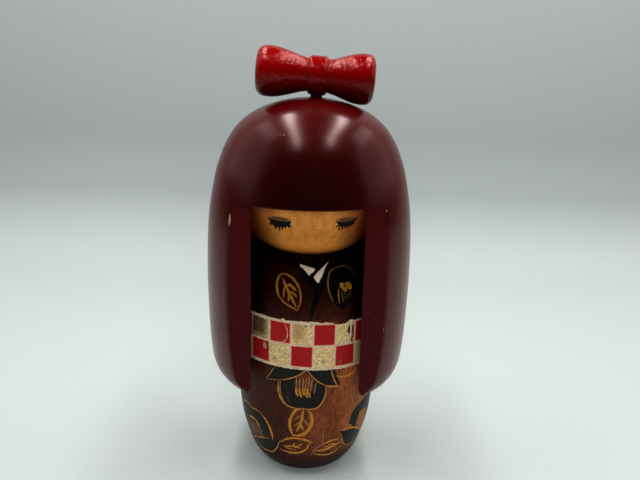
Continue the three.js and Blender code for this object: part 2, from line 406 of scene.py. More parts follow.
cut([(18.4, 13.4), (24, 13), (29, 12.6)], 0.6)
cut([(22.5, 14.2), (28, 13.8), (33, 13)], 0.65)
cut([(26, 10.2), (30, 11.2), (33.6, 12.6)], 0.26, "pale")
cut([(16.2, 19.9), (16.8, 17.6), (15.6, 15.2)], 0.2, "pale")

# Camellia on the left hip.
area("black", [(-72, 22), (-66, 24.6), (-57, 25.9), (-50, 24.9), (-44, 25.3), (-37, 24.4)],
     [(-37, 24.4), (-33.5, 22.4), (-32, 19.8), (-31.6, 17), (-33, 14.8)],
     [(-33, 14.8), (-40, 14.2), (-46, 12.8), (-56, 10.6)],
     [(-56, 10.6), (-66, 12.5), (-72, 17), (-72, 22)])
area("black", [(-62, 10), (-52, 12.2), (-45, 13.2), (-40, 14.2), (-33, 14.9)],
     [(-33, 14.9), (-27, 15.2), (-21, 16)],
     [(-21, 16), (-23.6, 13.6), (-26, 11.4), (-29, 9.8), (-34, 8.4), (-42, 7.8)],
     [(-42, 7.8), (-54, 8.2), (-62, 10)])
area("stain", [(-57, 19.6), (-50, 20.2), (-44, 19.2), (-41, 17), (-40.4, 14.6)],
     [(-40.4, 14.6), (-46, 13.4), (-55, 11.4)],
     [(-55, 11.4), (-60, 14), (-60, 17.4), (-57, 19.6)])
cut([(-72, 22.2), (-66, 24.6), (-57, 25.9), (-50, 24.9), (-44, 25.4), (-37, 24.5)], 0.5)
cut([(-38, 24.6), (-34, 23), (-31, 21), (-29, 18.6), (-28.4, 16.4), (-29, 14.8)], 0.85, wobble=0.3)
cut([(-58, 19.9), (-52, 20.7), (-47, 20.6), (-43.6, 19.4), (-41.6, 17.8)], 0.95, wobble=0.25)
cut([(-41.6, 18), (-40.6, 16), (-40.6, 14)], 0.4, "pale")
for top, foot in ((-56.5, -55), (-54, -52.5), (-51.5, -50), (-49, -47.6), (-46.4, -45.4), (-44, -43.4)):
    cut([(top, 19.4), (top - 0.6, 17), (foot, 13.2 + (foot + 55) * 0.1)], 0.28, "pale", wobble=0.25)
cut([(-62, 9.8), (-52, 12.1), (-45, 13.2), (-40, 14.1), (-32.5, 14.9)], 0.55)
cut([(-20.4, 16), (-23.4, 13.6), (-26, 11.4), (-29, 9.8), (-34, 8.4), (-42, 7.8), (-52, 8.1), (-60, 9.6)],
    0.62)

# Camellia on the right hip.
area("black", [(41.4, 20.2), (41, 22.2), (42, 24.6), (45, 26.5), (50, 27.8), (60, 29.2), (70, 28.6),
               (76, 25)],
     [(76, 25), (77, 19), (70, 12.5)], [(70, 12.5), (60, 15), (50, 17.8), (41.4, 20.2)])
area("black", [(30.6, 19.4), (36, 18.9), (42, 18.8), (48, 18), (60, 15.2), (70, 12.4)],
     [(70, 12.4), (62, 10.4), (50, 10.2), (42.4, 11.6)],
     [(42.4, 11.6), (37.6, 13.4), (34, 16), (30.6, 19.4)])
area("stain", [(51.6, 17.8), (52, 21), (55, 23.4), (60, 24), (68, 22.4)],
     [(68, 22.4), (70, 18), (69, 13.2)],
     [(69, 13.2), (60, 15.6), (51.6, 17.8)])
cut([(41.6, 20.2), (41, 22.2), (42, 24.6), (45, 26.5), (50, 27.8), (60, 29.2), (70, 28.6), (76, 25)], 0.34,
    "pale")
for foot, tip in ((54, 56), (57, 59.4), (60.4, 62.6), (63.8, 65.6)):
    cut([(foot, 21.4), (foot + 0.6, 22.6), (tip - 1, 24)], 0.62)
cut([(51.8, 18.2), (52, 20.6), (54, 22.8)], 0.34, "pale")
for foot in (53.6, 56, 58.6, 61.2, 64, 66.8):
    cut([(foot, 17.6 - (foot - 52) * 0.22), (foot + 0.8, 19.4), (foot + 0.6, 21.6)], 0.28, "pale",
        wobble=0.25)
cut([(30.4, 19.6), (36, 19), (42, 18.9), (48, 18.2), (55, 16.7), (62, 14.7), (70, 12.4)], 0.72)
cut([(41, 19.4), (42.6, 20.3), (45.6, 19)], 0.6)
cut([(30.6, 19.4), (33.4, 17.8), (35.8, 15.6), (38.6, 13.2), (42.4, 11.5), (48, 10.4), (56, 10),
     (64, 10.8)], 0.46)
cut([(38.4, 36.4), (39.6, 32.8), (43, 29.8), (48, 28.4), (54, 28.8), (60, 29.6)], 0.26, "pale")
cut([(41.4, 36.8), (42.6, 33), (46, 30.4)], 0.2, "pale")


def drawn_about(middle, height, lean):
    """A function from mm across and up a leaning drawing to (degrees, height) on the wall."""
    def at(across, up):
        return (middle + (across * math.cos(lean) - up * math.sin(lean)) / PATTERN_MM_PER_DEGREE,
                height + across * math.sin(lean) + up * math.cos(lean))
    return at


def back_camellia(middle, height, lean):
    """A whole camellia with its leaf, drawn about a middle point on the back of the kimono."""
    at = drawn_about(middle, height, lean)
    cup = [at(*p) for p in ((-8, 2.6), (-8.6, -0.6), (-6.6, -4.4), (-2.6, -6.6), (2.2, -6.6), (6.4, -4.2),
                            (8, -0.4), (7.4, 2.4))]
    left = [at(*p) for p in ((-12.4, 3.6), (-9, 6.4), (-4.4, 7.4), (0, 6.2))]
    right = [at(*p) for p in ((0, 6.2), (4.6, 7), (9, 5.4), (12, 1.8))]
    left_low = [at(*p) for p in ((0, 6.2), (-3.6, 4), (-8, 2.6), (-12.4, 3.6))]
    right_low = [at(*p) for p in ((12, 1.8), (7.4, 2.4), (3.4, 4.2), (0, 6.2))]
    area("black", cup, [cup[-1], at(0, 6.2)], [at(0, 6.2), cup[0]])
    area("black", left, left_low)
    area("black", right, right_low)
    area("stain", [at(-2.8, 4), at(0, 5.2), at(2.8, 4)], [at(2.8, 4), at(1.6, -1)],
         [at(1.6, -1), at(-2.4, -1)],
         [at(-2.4, -1), at(-2.8, 4)])
    for across in (-2.2, -1.1, 0, 1.1, 2.2):
        cut([at(across, 4), at(across - 0.2, 1.6), at(across - 0.4, -0.6)], 0.27, "pale", wobble=0.25)
        cut([at(across - 0.4, -0.4), at(across - 0.3, -1.6), at(across + 0.1, -3)], 0.68, thin_start=0.6)
    for line in (cup, left, right, left_low, right_low):
        cut(line, 0.48)
    carved_leaf(*at(0, -11.4), lean + math.pi / 2)


def carved_leaf(middle, height, lean):
    """A leaf with a middle vein and side veins; lean turns it from lying level."""
    at = drawn_about(middle, height, lean)
    cut([at(-5.4, -0.4), at(-3, 1.7), at(0, 2.6), at(3, 1.9), at(5.8, 0)], 0.75)
    cut([at(-5.4, -0.4), at(-3, -2.3), at(0.4, -2.8), at(3.4, -1.7), at(5.8, 0)], 0.8)
    cut([at(-4.4, -0.2), at(-0.6, 0.1), at(3.6, 0)], 0.5)
    for along in (-2.4, 0.4):
        cut([at(along, 0), at(along + 1.3, 0.9), at(along + 2.2, 1.7)], 0.34)
        cut([at(along, 0), at(along + 1.3, -0.9), at(along + 2.2, -1.7)], 0.34)


back_camellia(118, 33, -0.15)
back_camellia(-124, 30, 0.2)
back_camellia(163, 21, 0.35)
for middle, height, lean in ((92, 14, 0.2), (-91, 15, -0.25), (-158, 37, 0.5), (-160, 15, -0.1),
                             (140, 39.5, -0.2)):
    carved_leaf(middle, height, lean)


def near_points(points, outline):
    """Which of the flat points lie in the outline's box."""
    corners = np.array(outline)
    return np.where((points > corners.min(0)).all(1) & (points < corners.max(0)).all(1))[0]


def inside_outline(points, outline):
    """True for each flat point that a closed outline goes round."""
    x, y = points[:, :1], points[:, 1:]
    start = np.array(outline)
    end = np.roll(start, -1, axis=0)
    rise = end[:, 1] - start[:, 1]
    crosses = (start[:, 1] > y) != (end[:, 1] > y)
    reach = start[:, 0] + (y - start[:, 1]) / np.where(rise == 0, 1, rise) * (end[:, 0] - start[:, 0])
    return (crosses & (x < reach)).sum(1) % 2 == 1


def cut_reach(points, middle, halves):
    """How far inside a gouge cut each flat point lies, in mm; below nothing outside it."""
    line, widths = np.array(middle), np.array(halves)
    start, step = line[:-1], np.diff(line, axis=0)
    offset = points[:, None] - start
    along = ((offset * step).sum(2) / (step ** 2).sum(1)).clip(0, 1)
    away = np.linalg.norm(offset - along[..., None] * step, axis=2)
    return (widths[:-1] + along * np.diff(widths) - away).max(1)


def cut_depths(points):
    """How deep the gouge went at each flat point, in mm."""
    depths = np.zeros(len(points))
    for _, outline, middle, halves in shapes:
        if middle:
            near = near_points(points, outline)
            depths[near] = np.maximum(depths[near], CUT_STEEPNESS * cut_reach(points[near], middle, halves))
    return depths


def find_kinds(points, kinds):
    """The index in kinds of what covers each flat point."""
    found = np.zeros(len(points), np.int32)
    for kind, outline, middle, halves in shapes:
        near = near_points(points, outline)
        if middle:
            covered = cut_reach(points[near], middle, halves) > 0
        else:
            covered = inside_outline(points[near], outline)
        found[near[covered]] = kinds.index(kind)
    return found


def lay_out_pattern(kinds, low, high, end=180):
    """Cuts the flat wall, from -180 to the end degrees, into triangles along every painted edge and cut."""
    rows = round((high - low) / WALL_ROW)
    columns = round((180 + end) / 360 * WALL_COLUMNS)
    left, right = flat(-180, 0)[0], flat(end, 0)[0]
    points, edges = [], []
    for row in range(rows + 1):
        for column in range(columns + 1):
            degrees = -180 + (180 + end) * column / columns
            points.append(flat(degrees, low + (high - low) * row / rows))
    for _, outline, middle, _ in shapes:
        first, last = len(points), len(points) + len(outline) - 1
        points += [(min(max(x, left), right), min(max(y, low), high)) for x, y in outline]
        edges += [(k, k + 1) for k in range(first, last)] + [(last, first)]
        if middle:
            first = len(points)
            points += middle
            edges += [(k, k + 1) for k in range(first, len(points) - 1)]
    found = delaunay_2d_cdt([Vector(point) for point in points], edges, [], 0, 1e-4, False)
    points, triangles = np.array([tuple(v) for v in found[0]]), np.array(found[2])
    return points, triangles, find_kinds(points[triangles].mean(1), kinds)


def on_wall(points, wall, depth):
    """Flat points rolled round the turning and sunk to their depth, and which way each faces."""
    radii, heights = np.array(wall).T
    angles = np.radians(points[:, 0] / PATTERN_MM_PER_DEGREE)
    radius = np.interp(points[:, 1], heights, radii)
    above = np.interp(points[:, 1] + SLOPE_REACH, heights, radii)
    below = np.interp(points[:, 1] - SLOPE_REACH, heights, radii)
    slope = (above - below) / (2 * SLOPE_REACH)
    outward = np.stack([np.sin(angles), -np.cos(angles), -slope], 1)
    outward /= np.linalg.norm(outward, axis=1)[:, None]
    place = np.stack([radius * np.sin(angles), -radius * np.cos(angles), points[:, 1]], 1)
    return place - outward * depth[:, None], outward


def patterned_turning(name, pattern, wall, below, below_kind, above, above_kind):
    """A closed turning: a patterned wall of (radius, height) points between plain rings."""
    points, triangles, paints = pattern
    place, outward = on_wall(points, wall, cut_depths(points))
    verts = [tuple(v) for v in place]
    normals = [tuple(n) for n in outward]
    faces, paints = [tuple(triangle) for triangle in triangles], list(paints)

    def ring(radius, height):
        first = len(verts)
        for column in range(WALL_COLUMNS + 1):
            angle = math.radians(-180 + 360 * column / WALL_COLUMNS)
            verts.append((radius * math.sin(angle), -radius * math.cos(angle), height))
            normals.append((0, 0, 0))
        return first

    def join(lower, upper, paint):
        for column in range(WALL_COLUMNS):
            faces.append((lower + column, lower + column + 1, upper + column + 1, upper + column))
            paints.append(paint)

    rings = [ring(*at) for at in below]
    for upper, lower in zip(rings, rings[1:]):
        join(lower, upper, below_kind)
    rings = [ring(*at) for at in above]
    for lower, upper in zip(rings, rings[1:]):
        join(lower, upper, above_kind)
    mesh = bpy.data.meshes.new(name)
    mesh.from_pydata([Vector(v) * MM for v in verts], [], faces)
    mesh.polygons.foreach_set("material_index", paints)
    build = bmesh.new()
    build.from_mesh(mesh)
    kept = build.verts.layers.float_vector.new("outward")
    build.verts.ensure_lookup_table()
    for vert, normal in zip(build.verts, normals):
        vert[kept] = normal
    bmesh.ops.remove_doubles(build, verts=build.verts, dist=WELD_REACH)
    holes = [edge for edge in build.edges if edge.is_boundary]
    bmesh.ops.holes_fill(build, edges=holes, sides=WALL_COLUMNS + 1)
    build.to_mesh(mesh)
    build.free()
    return mesh


def shade_painted_wall(mesh, cut_paints):
    """Smooth round the turning, with crisp facets inside the cuts."""
    count = len(mesh.vertices)
    outward = np.zeros(count * 3, np.float32)
    mesh.attributes["outward"].data.foreach_get("vector", outward)
    outward = outward.reshape(-1, 3)
    mesh.shade_smooth()
    mesh.set_sharp_from_angle(angle=SHARP_ANGLE)
    normals = np.zeros(len(mesh.loops) * 3, np.float32)
    mesh.corner_normals.foreach_get("vector", normals)
    normals = normals.reshape(-1, 3)
    corner_verts = np.zeros(len(mesh.loops), np.int32)
    mesh.loops.foreach_get("vertex_index", corner_verts)
    for polygon in mesh.polygons:
        corners = slice(polygon.loop_start, polygon.loop_start + polygon.loop_total)
        if polygon.material_index in cut_paints:
            normals[corners] = polygon.normal
        else:
            known = outward[corner_verts[corners]]
            given = np.linalg.norm(known, axis=1) > 0.5
            if given.all():
                normals[corners] = known
    mesh.normals_split_custom_set(normals)
    mesh.attributes.remove(mesh.attributes["outward"])


body_wall = smooth_run(SKIRT, 12) + smooth_run(SHOULDER, 12)
foot_rings = [(SKIRT[0][0] - 0.03 * k * k - 0.2 * k, SKIRT[0][1] - 0.2 * k) for k in range(4)]
foot_rings += [(FOOT_RADIUS, 0), (FOOT_RADIUS - 3, 0), (6, 0), (AXIS_GAP, 0)]
seat_rings = [SHOULDER[-1]]
seat_rings += [(r, SEAT_BALL[0] - math.sqrt(SEAT_BALL[1] ** 2 - r ** 2)) for r in (14.5, 12, 9, 6.5)]
seat_rings += [(NECK_HOLE_RADIUS, NECK_HOLE_MOUTH), (NECK_HOLE_RADIUS, NECK_HOLE_FOOT),
               (AXIS_GAP, NECK_HOLE_FOOT)]
body_pattern = lay_out_pattern(PAINTS, SKIRT[0][1], SHOULDER[-1][1])
body_mesh = patterned_turning("body", body_pattern, body_wall, foot_rings, 0, seat_rings,
                              PAINTS.index("black"))
shade_painted_wall(body_mesh, (PAINTS.index("gold"), PAINTS.index("pale")))


def object_axes(tree):
    """Sockets for the place across, to the back and up, in metres."""
    return add_node(tree, "SeparateXYZ", {0: object_place(tree)}).outputs


def make_stain():
    """Red-brown stain, darker in the pores, browner on the doll's left, with painted shade on the chest,
    round its sides and at the foot.
    """
    material, tree, shader = new_material("red-brown stain", (0.1, 0.03, 0.02), 0.4,
                                          Specular_IOR_Level=0.03, Coat_Roughness=0.3)
    grain = use_group(tree, GRAIN, Width=0.42, Length=3.2, Band_Width=7.0)
    across, _, up = object_axes(tree)
    # Browner on the doll's left, less so on the chest and by the foot, where painted shade takes the warmth
    # out.
    upper = spread(tree, up, CHEST_START, 0.064, 1.0, 0.12)
    foot = spread(tree, up, 0.004, 0.019, 0.05, 1.0)
    warm_share = multiply(tree, multiply(tree, spread(tree, across, -0.008, 0.014), upper), foot)
    dark = mix_colours(tree, grain["Fibre"], (0.018, 0.004, 0.003), (0.1, 0.024, 0.012))
    warm = mix_colours(tree, grain["Fibre"], (0.2, 0.055, 0.018), (0.54, 0.18, 0.052))
    banded = multiply(tree, warm_share, spread(tree, grain["Bands"], 0.1, 0.9, 0.5, 1.0))
    both = mix_colours(tree, banded, dark, warm)
    # Painted shade: darker on the chest and most of all round its sides, where the hair shades it, and at
    # the foot, in its contact shadow.
    both = mix_colours(tree, spread(tree, up, CHEST_START, 0.073, 0.0, 0.94), both, (0.014, 0.0012, 0.0005))
    side = spread(tree, math_node(tree, "ABSOLUTE", across), 0.0105, 0.017)
    side = multiply(tree, side, spread(tree, up, CHEST_START, 0.063, 0.0, 0.92))
    both = mix_colours(tree, side, both, (0.002, 0.0004, 0.0002))
    both = mix_colours(tree, spread(tree, up, 0.0, 0.014, 0.96, 0.0), both, (0.007, 0.0028, 0.002))
    colour = mix_colours(tree, multiply(tree, grain["Pores"], 0.7), both, (0.02, 0.006, 0.004))
    tree.links.new(spread(tree, up, *VARNISH_FADE, 0.3, 0.02), shader.inputs["Coat Weight"])
    tree.links.new(colour, shader.inputs["Base Color"])
    tree.links.new(spread(tree, grain["Fibre"], 0, 1, 0.32, 0.48), shader.inputs["Roughness"])
    add_bump(tree, shader, grain["Fibre"], 0.02)
    return material


def make_paint(name, colour, worn_colour, roughness, wear, chest_shade_depth=0.0):
    """Brushed paint that the grain still shows through, thin in places, and darkened on the chest by
    painted shade.
    """
    material, tree, shader = new_material(name, colour, roughness, Specular_IOR_Level=0.03,
                                          Coat_Roughness=0.3)
    grain = use_group(tree, GRAIN, Width=0.3, Length=2.0, Band_Width=1.2)
    wear_and_light = multiply(tree, spread(tree, grain["Fibre"], 0.5, 0.9), wear)
    up = object_axes(tree)[2]
    # Painted shade: the paint darkens on the chest, where the head and hair shade it.
    chest_shade = spread(tree, up, 0.063, 0.067, 0.0, chest_shade_depth)
    shaded_colour = tuple(0.3 * part for part in colour)
    brushed = mix_colours(tree, chest_shade, mix_colours(tree, wear_and_light, colour, worn_colour), shaded_colour)
    tree.links.new(brushed, shader.inputs["Base Color"])
    tree.links.new(spread(tree, up, *VARNISH_FADE, 0.35, 0.02), shader.inputs["Coat Weight"])
    add_bump(tree, shader, grain["Fibre"], 0.015)
    return material


STAIN = make_stain()
BLACK_PAINT = make_paint("black paint", (0.008, 0.0075, 0.007), (0.04, 0.034, 0.03), 0.4, 0.6, 0.95)
WHITE_PAINT = make_paint("white paint", (0.62, 0.55, 0.44), (0.36, 0.27, 0.18), 0.5, 0.8)
GOLD_PAINT = make_paint("ochre paint in the cuts", (0.55, 0.26, 0.04), (0.22, 0.11, 0.04), 0.45, 0.9, 0.7)
PALE_CUT = make_paint("pale cuts", (0.42, 0.25, 0.1), (0.16, 0.07, 0.03), 0.5, 0.9, 0.75)
add_piece("carved_body", body_mesh, "root", "body", "stained_wood", STAIN, BLACK_PAINT, WHITE_PAINT,
          GOLD_PAINT, PALE_CUT)

# ---------------------------------------------------------------- obi
# A strip of block-printed paper, pasted round the waist in one turn that laps at the back.
# The red squares have bled at their edges and the foil squares are rubbed; the strip's
# edges are torn, and it has peeled in spots and curled.
WAIST_RADIUS = 26.5
STRIP_PAPER = 0.24
PASTE = 0.02                         # between the body and the strip
LAP_PASTE = 0.03
CURL_LIFT = 1.4                      # how far curls stand up for each mm of cut depth
STRIP_LOW = 45.2                     # the torn edges keep within these two heights
STRIP_HIGH = 63.4
STRIP_SLOPE = -0.028                 # the strip sits lower on the +X side
STRIP_END = 187                      # degrees, so that the end laps over the start
LAP_START = 178.5
CELL_PITCH = 16.1
CELL_WIDTH = 14.7
FIRST_CELL = -26.0
CELL_ROWS = ((46.7, 53.75), (54.55, 61.6))
STRIP_KINDS = ("paper", "red", "foil", "smudge", "bled", "gone")
BLED_RIM = 0.28                      # how far the red ink bled past each square
SQUARE_STEPS = 8                     # points along each side of a printed square
TORN_STEP = 0.9                      # degrees between the points of a torn edge
TORN_BITE = 0.09
UPPER_ROW = (0.0545, 0.057)          # metres up the doll, where the upper row of squares begins
TORN_TOP = [(-180, 62.6), (-39, 62.6), (-33, 62.75), (-26, 62.5), (-18.5, 62.55), (-17, 62.9),
            (-16.1, 63.2), (-15.4, 62.5), (-6, 62.7), (6.5, 62.75), (9, 62.6), (10.7, 62.2), (14, 62.6),
            (19.3, 62.2), (20.4, 61.7), (24.7, 61.45), (29.5, 61.5), (32.4, 62.4), (34, 62.55), (37, 62.2),
            (42, 62.3), (187, 62.6)]
TORN_FOOT = [(-180, 45.5), (-25, 45.55), (0, 45.5), (22, 45.45), (40, 45.5), (187, 45.5)]

shapes.clear()
torn = random.Random(5)


def torn_edge(points, limit):
    """The strip's ragged edge, closed off against the limit so that what lies past it can go."""
    degrees, heights = zip(*points)
    edge = []
    for step in range(round((STRIP_END + 180) / TORN_STEP) + 1):
        at = -180 + TORN_STEP * step
        edge.append((at, float(np.interp(at, degrees, heights)) + torn.uniform(-TORN_BITE, TORN_BITE)))
    return edge + [(STRIP_END, limit), (-180, limit), edge[0]]


def printed_square(kind, left, low, high, unevenness, spill=0.0):
    """A square with uneven edges; spill is how far in mm it reaches past the printing block."""
    right = left + CELL_WIDTH + spill / PATTERN_MM_PER_DEGREE
    left, low, high = left - spill / PATTERN_MM_PER_DEGREE, low - spill, high + spill
    corners = [(left, low), (right, low), (right, high), (left, high)]
    outline = []
    for start, end in zip(corners, corners[1:] + corners[:1]):
        for step in range(SQUARE_STEPS):
            along = step / SQUARE_STEPS
            degrees = start[0] + (end[0] - start[0]) * along + 2 * torn.uniform(-unevenness, unevenness)
            height = start[1] + (end[1] - start[1]) * along + torn.uniform(-unevenness, unevenness)
            outline.append((degrees, height))
    area(kind, outline + outline[:1], steps=1)


for column in range(-10, 14):
    left = FIRST_CELL + column * CELL_PITCH
    if -180 < left < STRIP_END - 2:
        printed_square("bled", left, *CELL_ROWS[1 - column % 2], 0.09, BLED_RIM)
        printed_square("red", left, *CELL_ROWS[1 - column % 2], 0.07)
        printed_square("foil", left - 0.4, *CELL_ROWS[column % 2], 0.2)
# Spots where the strip has peeled off, grey smudges, curls of loose paper and the torn edges.
area("gone", [(31.6, 60.7), (32.6, 60.9), (33.7, 60.1)], [(33.7, 60.1), (33.7, 58), (32.7, 57.6)],
     [(32.7, 57.6), (31, 58.7), (31.6, 60.7)])
area("gone", [(34.8, 59.6), (36.5, 61.1)], [(36.5, 61.1), (37.2, 57.7), (36.7, 53.9)],
     [(36.7, 53.9), (35.4, 54.2), (34.2, 55)], [(34.2, 55), (34.8, 57.5), (34.8, 59.6)])
area("gone", [(23.6, 47.6), (26, 47.4), (27, 48.3), (25, 48.9), (23.6, 47.6)])
area("gone", [(112, 59), (114, 60.4), (117, 59.6), (116, 57.6), (113, 57.4), (112, 59)])
area("smudge", [(-32.8, 51.2), (-30, 50.9), (-29.6, 52.6), (-31.8, 53.2), (-32.8, 51.2)])
area("smudge", [(-1.6, 60.9), (0.4, 60.7), (1.4, 61.3), (-0.6, 61.6), (-1.6, 60.9)])
area("smudge", [(11.8, 48.3), (14, 48.1), (14.4, 48.9), (12.4, 49), (11.8, 48.3)])
area("smudge", [(-24, 48), (-21.4, 48), (-21.8, 48.7), (-23.6, 48.8), (-24, 48)])
cut([(-15.6, 61.4), (-13.4, 59.4), (-13.2, 56.9), (-15, 55.1), (-18.5, 54.5), (-22, 54.6)], 0.34, "paper",
    0.5, 0.2)
cut([(34.5, 62.2), (31.4, 60.6), (30.6, 58.4), (32.6, 55.8), (31.7, 53.9)], 0.55, "paper", 0.6, 0.4)
cut([(37.2, 62.4), (34, 61), (34.3, 58.8), (33.8, 56.3), (32.2, 54.3)], 0.6, "paper", 0.6, 0.4)
area("gone", torn_edge(TORN_TOP, STRIP_HIGH), steps=1)
area("gone", torn_edge(TORN_FOOT, STRIP_LOW), steps=1)


def strip_mesh():
    """The paper with its thickness; curls stand up, and the end lies over the start."""
    points, triangles, kinds = lay_out_pattern(STRIP_KINDS, STRIP_LOW, STRIP_HIGH, STRIP_END)
    kept = kinds != STRIP_KINDS.index("gone")
    triangles, kinds = triangles[kept], kinds[kept]
    lap = np.interp(points[:, 0] / PATTERN_MM_PER_DEGREE, [LAP_START - 1, LAP_START],
                    [0, STRIP_PAPER + LAP_PASTE])
    curl = CURL_LIFT * cut_depths(points)
    wall = [(WAIST_RADIUS + PASTE, STRIP_LOW - 1), (WAIST_RADIUS + PASTE, STRIP_HIGH + 1)]
    outer, outward = on_wall(points, wall, -lap - curl - STRIP_PAPER)
    inner, _ = on_wall(points, wall, -lap)
    place = np.concatenate([outer, inner])
    place[:, 2] += STRIP_SLOPE * place[:, 0]
    outward[curl > 0] = 0
    count = len(points)
    front = [tuple(triangle) for triangle in triangles]
    faces = front + [tuple(triangle[::-1] + count) for triangle in triangles]
    # A dict rather than a set, since it keeps the sides in order.
    sides = dict.fromkeys(side for face in front for side in zip(face, face[1:] + face[:1]))
    rim = [(start, end) for start, end in sides if (end, start) not in sides]
    faces += [(end, start, start + count, end + count) for start, end in rim]
    mesh = bpy.data.meshes.new("obi")
    mesh.from_pydata([Vector(v) * MM for v in place], [], faces)
    mesh.polygons.foreach_set("material_index", list(kinds) + [0] * (len(kinds) + len(rim)))
    facing = mesh.attributes.new("outward", "FLOAT_VECTOR", "POINT")
    both_sides = np.concatenate([outward, np.zeros_like(outward)])
    facing.data.foreach_set("vector", both_sides.astype(np.float32).ravel())
    build = bmesh.new()
    build.from_mesh(mesh)
    bmesh.ops.delete(build, geom=[vert for vert in build.verts if not vert.link_faces], context="VERTS")
    build.to_mesh(mesh)
    build.free()
    shade_painted_wall(mesh, ())
    return mesh


def build_speckle_group():
    """Irregular specks; Size is that of one speck in mm and Amount how much they cover."""
    tree, given, out = new_group("Specks", {"Size": 1.0, "Amount": 0.5}, {"Mask": "NodeSocketFloat"})
    place = object_place(tree)
    scale = math_node(tree, "DIVIDE", 1000.0, given.outputs["Size"])
    noise = add_node(tree, "TexNoise", {"Vector": place, "Scale": scale, "Detail": 4.0, "Roughness": 0.65})
    edge = math_node(tree, "SUBTRACT", 0.75, multiply(tree, given.outputs["Amount"], 0.5))
    near = math_node(tree, "ADD", edge, 0.06)
    tree.links.new(spread(tree, noise.outputs[0], edge, near), out.inputs["Mask"])
    return tree


SPECKS = build_speckle_group()


def make_strip_materials():
    """Paper, red print, foil, smudges and bled ink, in the order of STRIP_KINDS."""
    paper, tree, shader = new_material("washi paper", (0.6, 0.47, 0.32), 0.75)
    fibre = use_group(tree, SPECKS, Size=0.9, Amount=0.55)["Mask"]
    tree.links.new(mix_colours(tree, fibre, (0.62, 0.5, 0.35), (0.47, 0.37, 0.25)),
                   shader.inputs["Base Color"])
    add_bump(tree, shader, fibre, 0.04)
    red, tree, shader = new_material("red block print", (0.34, 0.012, 0.012), 0.5, Specular_IOR_Level=0.2)
    worn = use_group(tree, SPECKS, Size=0.5, Amount=0.32)["Mask"]
    tree.links.new(mix_colours(tree, worn, (0.34, 0.012, 0.013), (0.24, 0.01, 0.01)),
                   shader.inputs["Base Color"])
    add_bump(tree, shader, worn, 0.02)
    foil, tree, shader = new_material("rubbed gold foil", (0.6, 0.45, 0.2), 0.35)
    rubbed = use_group(tree, SPECKS, Size=0.9, Amount=0.5)["Mask"]
    cracks = use_group(tree, SPECKS, Size=0.26, Amount=0.5)["Mask"]
    gold = mix_colours(tree, cracks, (1.0, 0.76, 0.38), (0.46, 0.3, 0.12))
    bare = mix_colours(tree, cracks, (0.7, 0.55, 0.35), (0.44, 0.32, 0.17))
    dirt = use_group(tree, SPECKS, Size=0.8, Amount=0.22)["Mask"]
    colour = mix_colours(tree, dirt, mix_colours(tree, rubbed, gold, bare), (0.2, 0.13, 0.06))
    # In the upper row the middle square is browner, and the squares on the doll's right are darkened with a
    # painted shadow of the lock beside them.
    across, _, up = object_axes(tree)
    upper_row = spread(tree, up, *UPPER_ROW)
    from_middle = math_node(tree, "ABSOLUTE", math_node(tree, "ADD", across, 0.0024))
    browned = multiply(tree, spread(tree, from_middle, 0.0008, 0.0032, 0.62, 0), upper_row)
    colour = mix_colours(tree, browned, colour, (0.42, 0.2, 0.08))
    lock_shadow = multiply(tree, spread(tree, across, -0.0145, -0.0115, 0.82, 0.0), upper_row)
    colour = mix_colours(tree, lock_shadow, colour, (0.085, 0.02, 0.005))
    tree.links.new(colour, shader.inputs["Base Color"])
    left_on = math_node(tree, "SUBTRACT", 1.0, rubbed)
    tree.links.new(multiply(tree, left_on, 0.55), shader.inputs["Metallic"])
    tree.links.new(spread(tree, rubbed, 0, 1, 0.32, 0.7), shader.inputs["Roughness"])
    add_bump(tree, shader, cracks, 0.06)
    smudge, tree, shader = new_material("grey smudges", (0.24, 0.24, 0.22), 0.6)
    patchy = use_group(tree, SPECKS, Size=0.5, Amount=0.5)["Mask"]
    tree.links.new(mix_colours(tree, patchy, (0.2, 0.2, 0.19), (0.42, 0.34, 0.24)),
                   shader.inputs["Base Color"])
    add_bump(tree, shader, patchy, 0.02)
    bled, tree, shader = new_material("bled red ink", (0.58, 0.26, 0.21), 0.7)
    uneven = use_group(tree, SPECKS, Size=0.6, Amount=0.5)["Mask"]
    tree.links.new(mix_colours(tree, uneven, (0.6, 0.27, 0.22), (0.58, 0.4, 0.3)),
                   shader.inputs["Base Color"])
    return paper, red, foil, smudge, bled


add_piece("printed_paper_obi", strip_mesh(), "root", "obi", "sash_paper", *make_strip_materials())

# ---------------------------------------------------------------- head
# A ball of natural wood, oiled only, with the lashes brushed on in black. It was turned
# with a crown that fits the hair, and drilled from below for the neck dowel.
HEAD_BALL = (110.4, 31.5)            # height of the centre and radius
HEAD_BAND = (30.3, 103.0)            # straight band above the ball: radius and top
HEAD_CROWN = [(30.3, 103), (29.3, 106.2), (26.8, 110), (22.4, 113.8), (16, 116.7), (9, 117.6)]
HEAD_SOCKET = (5.2, 92.5)
FACE_LOW = 89.0                      # the face is drawn between these two heights
FACE_HIGH = 100.6
FACE_ROWS = 120
CHIN_ROWS = 24
CROWN_SHOULDER = 101.8               # where the ball gives way to the straight band
FACE_KINDS = ("wood", "black")


def ball_radius(height):
    return math.sqrt(HEAD_BALL[1] ** 2 - (height - HEAD_BALL[0]) ** 2)


shapes.clear()
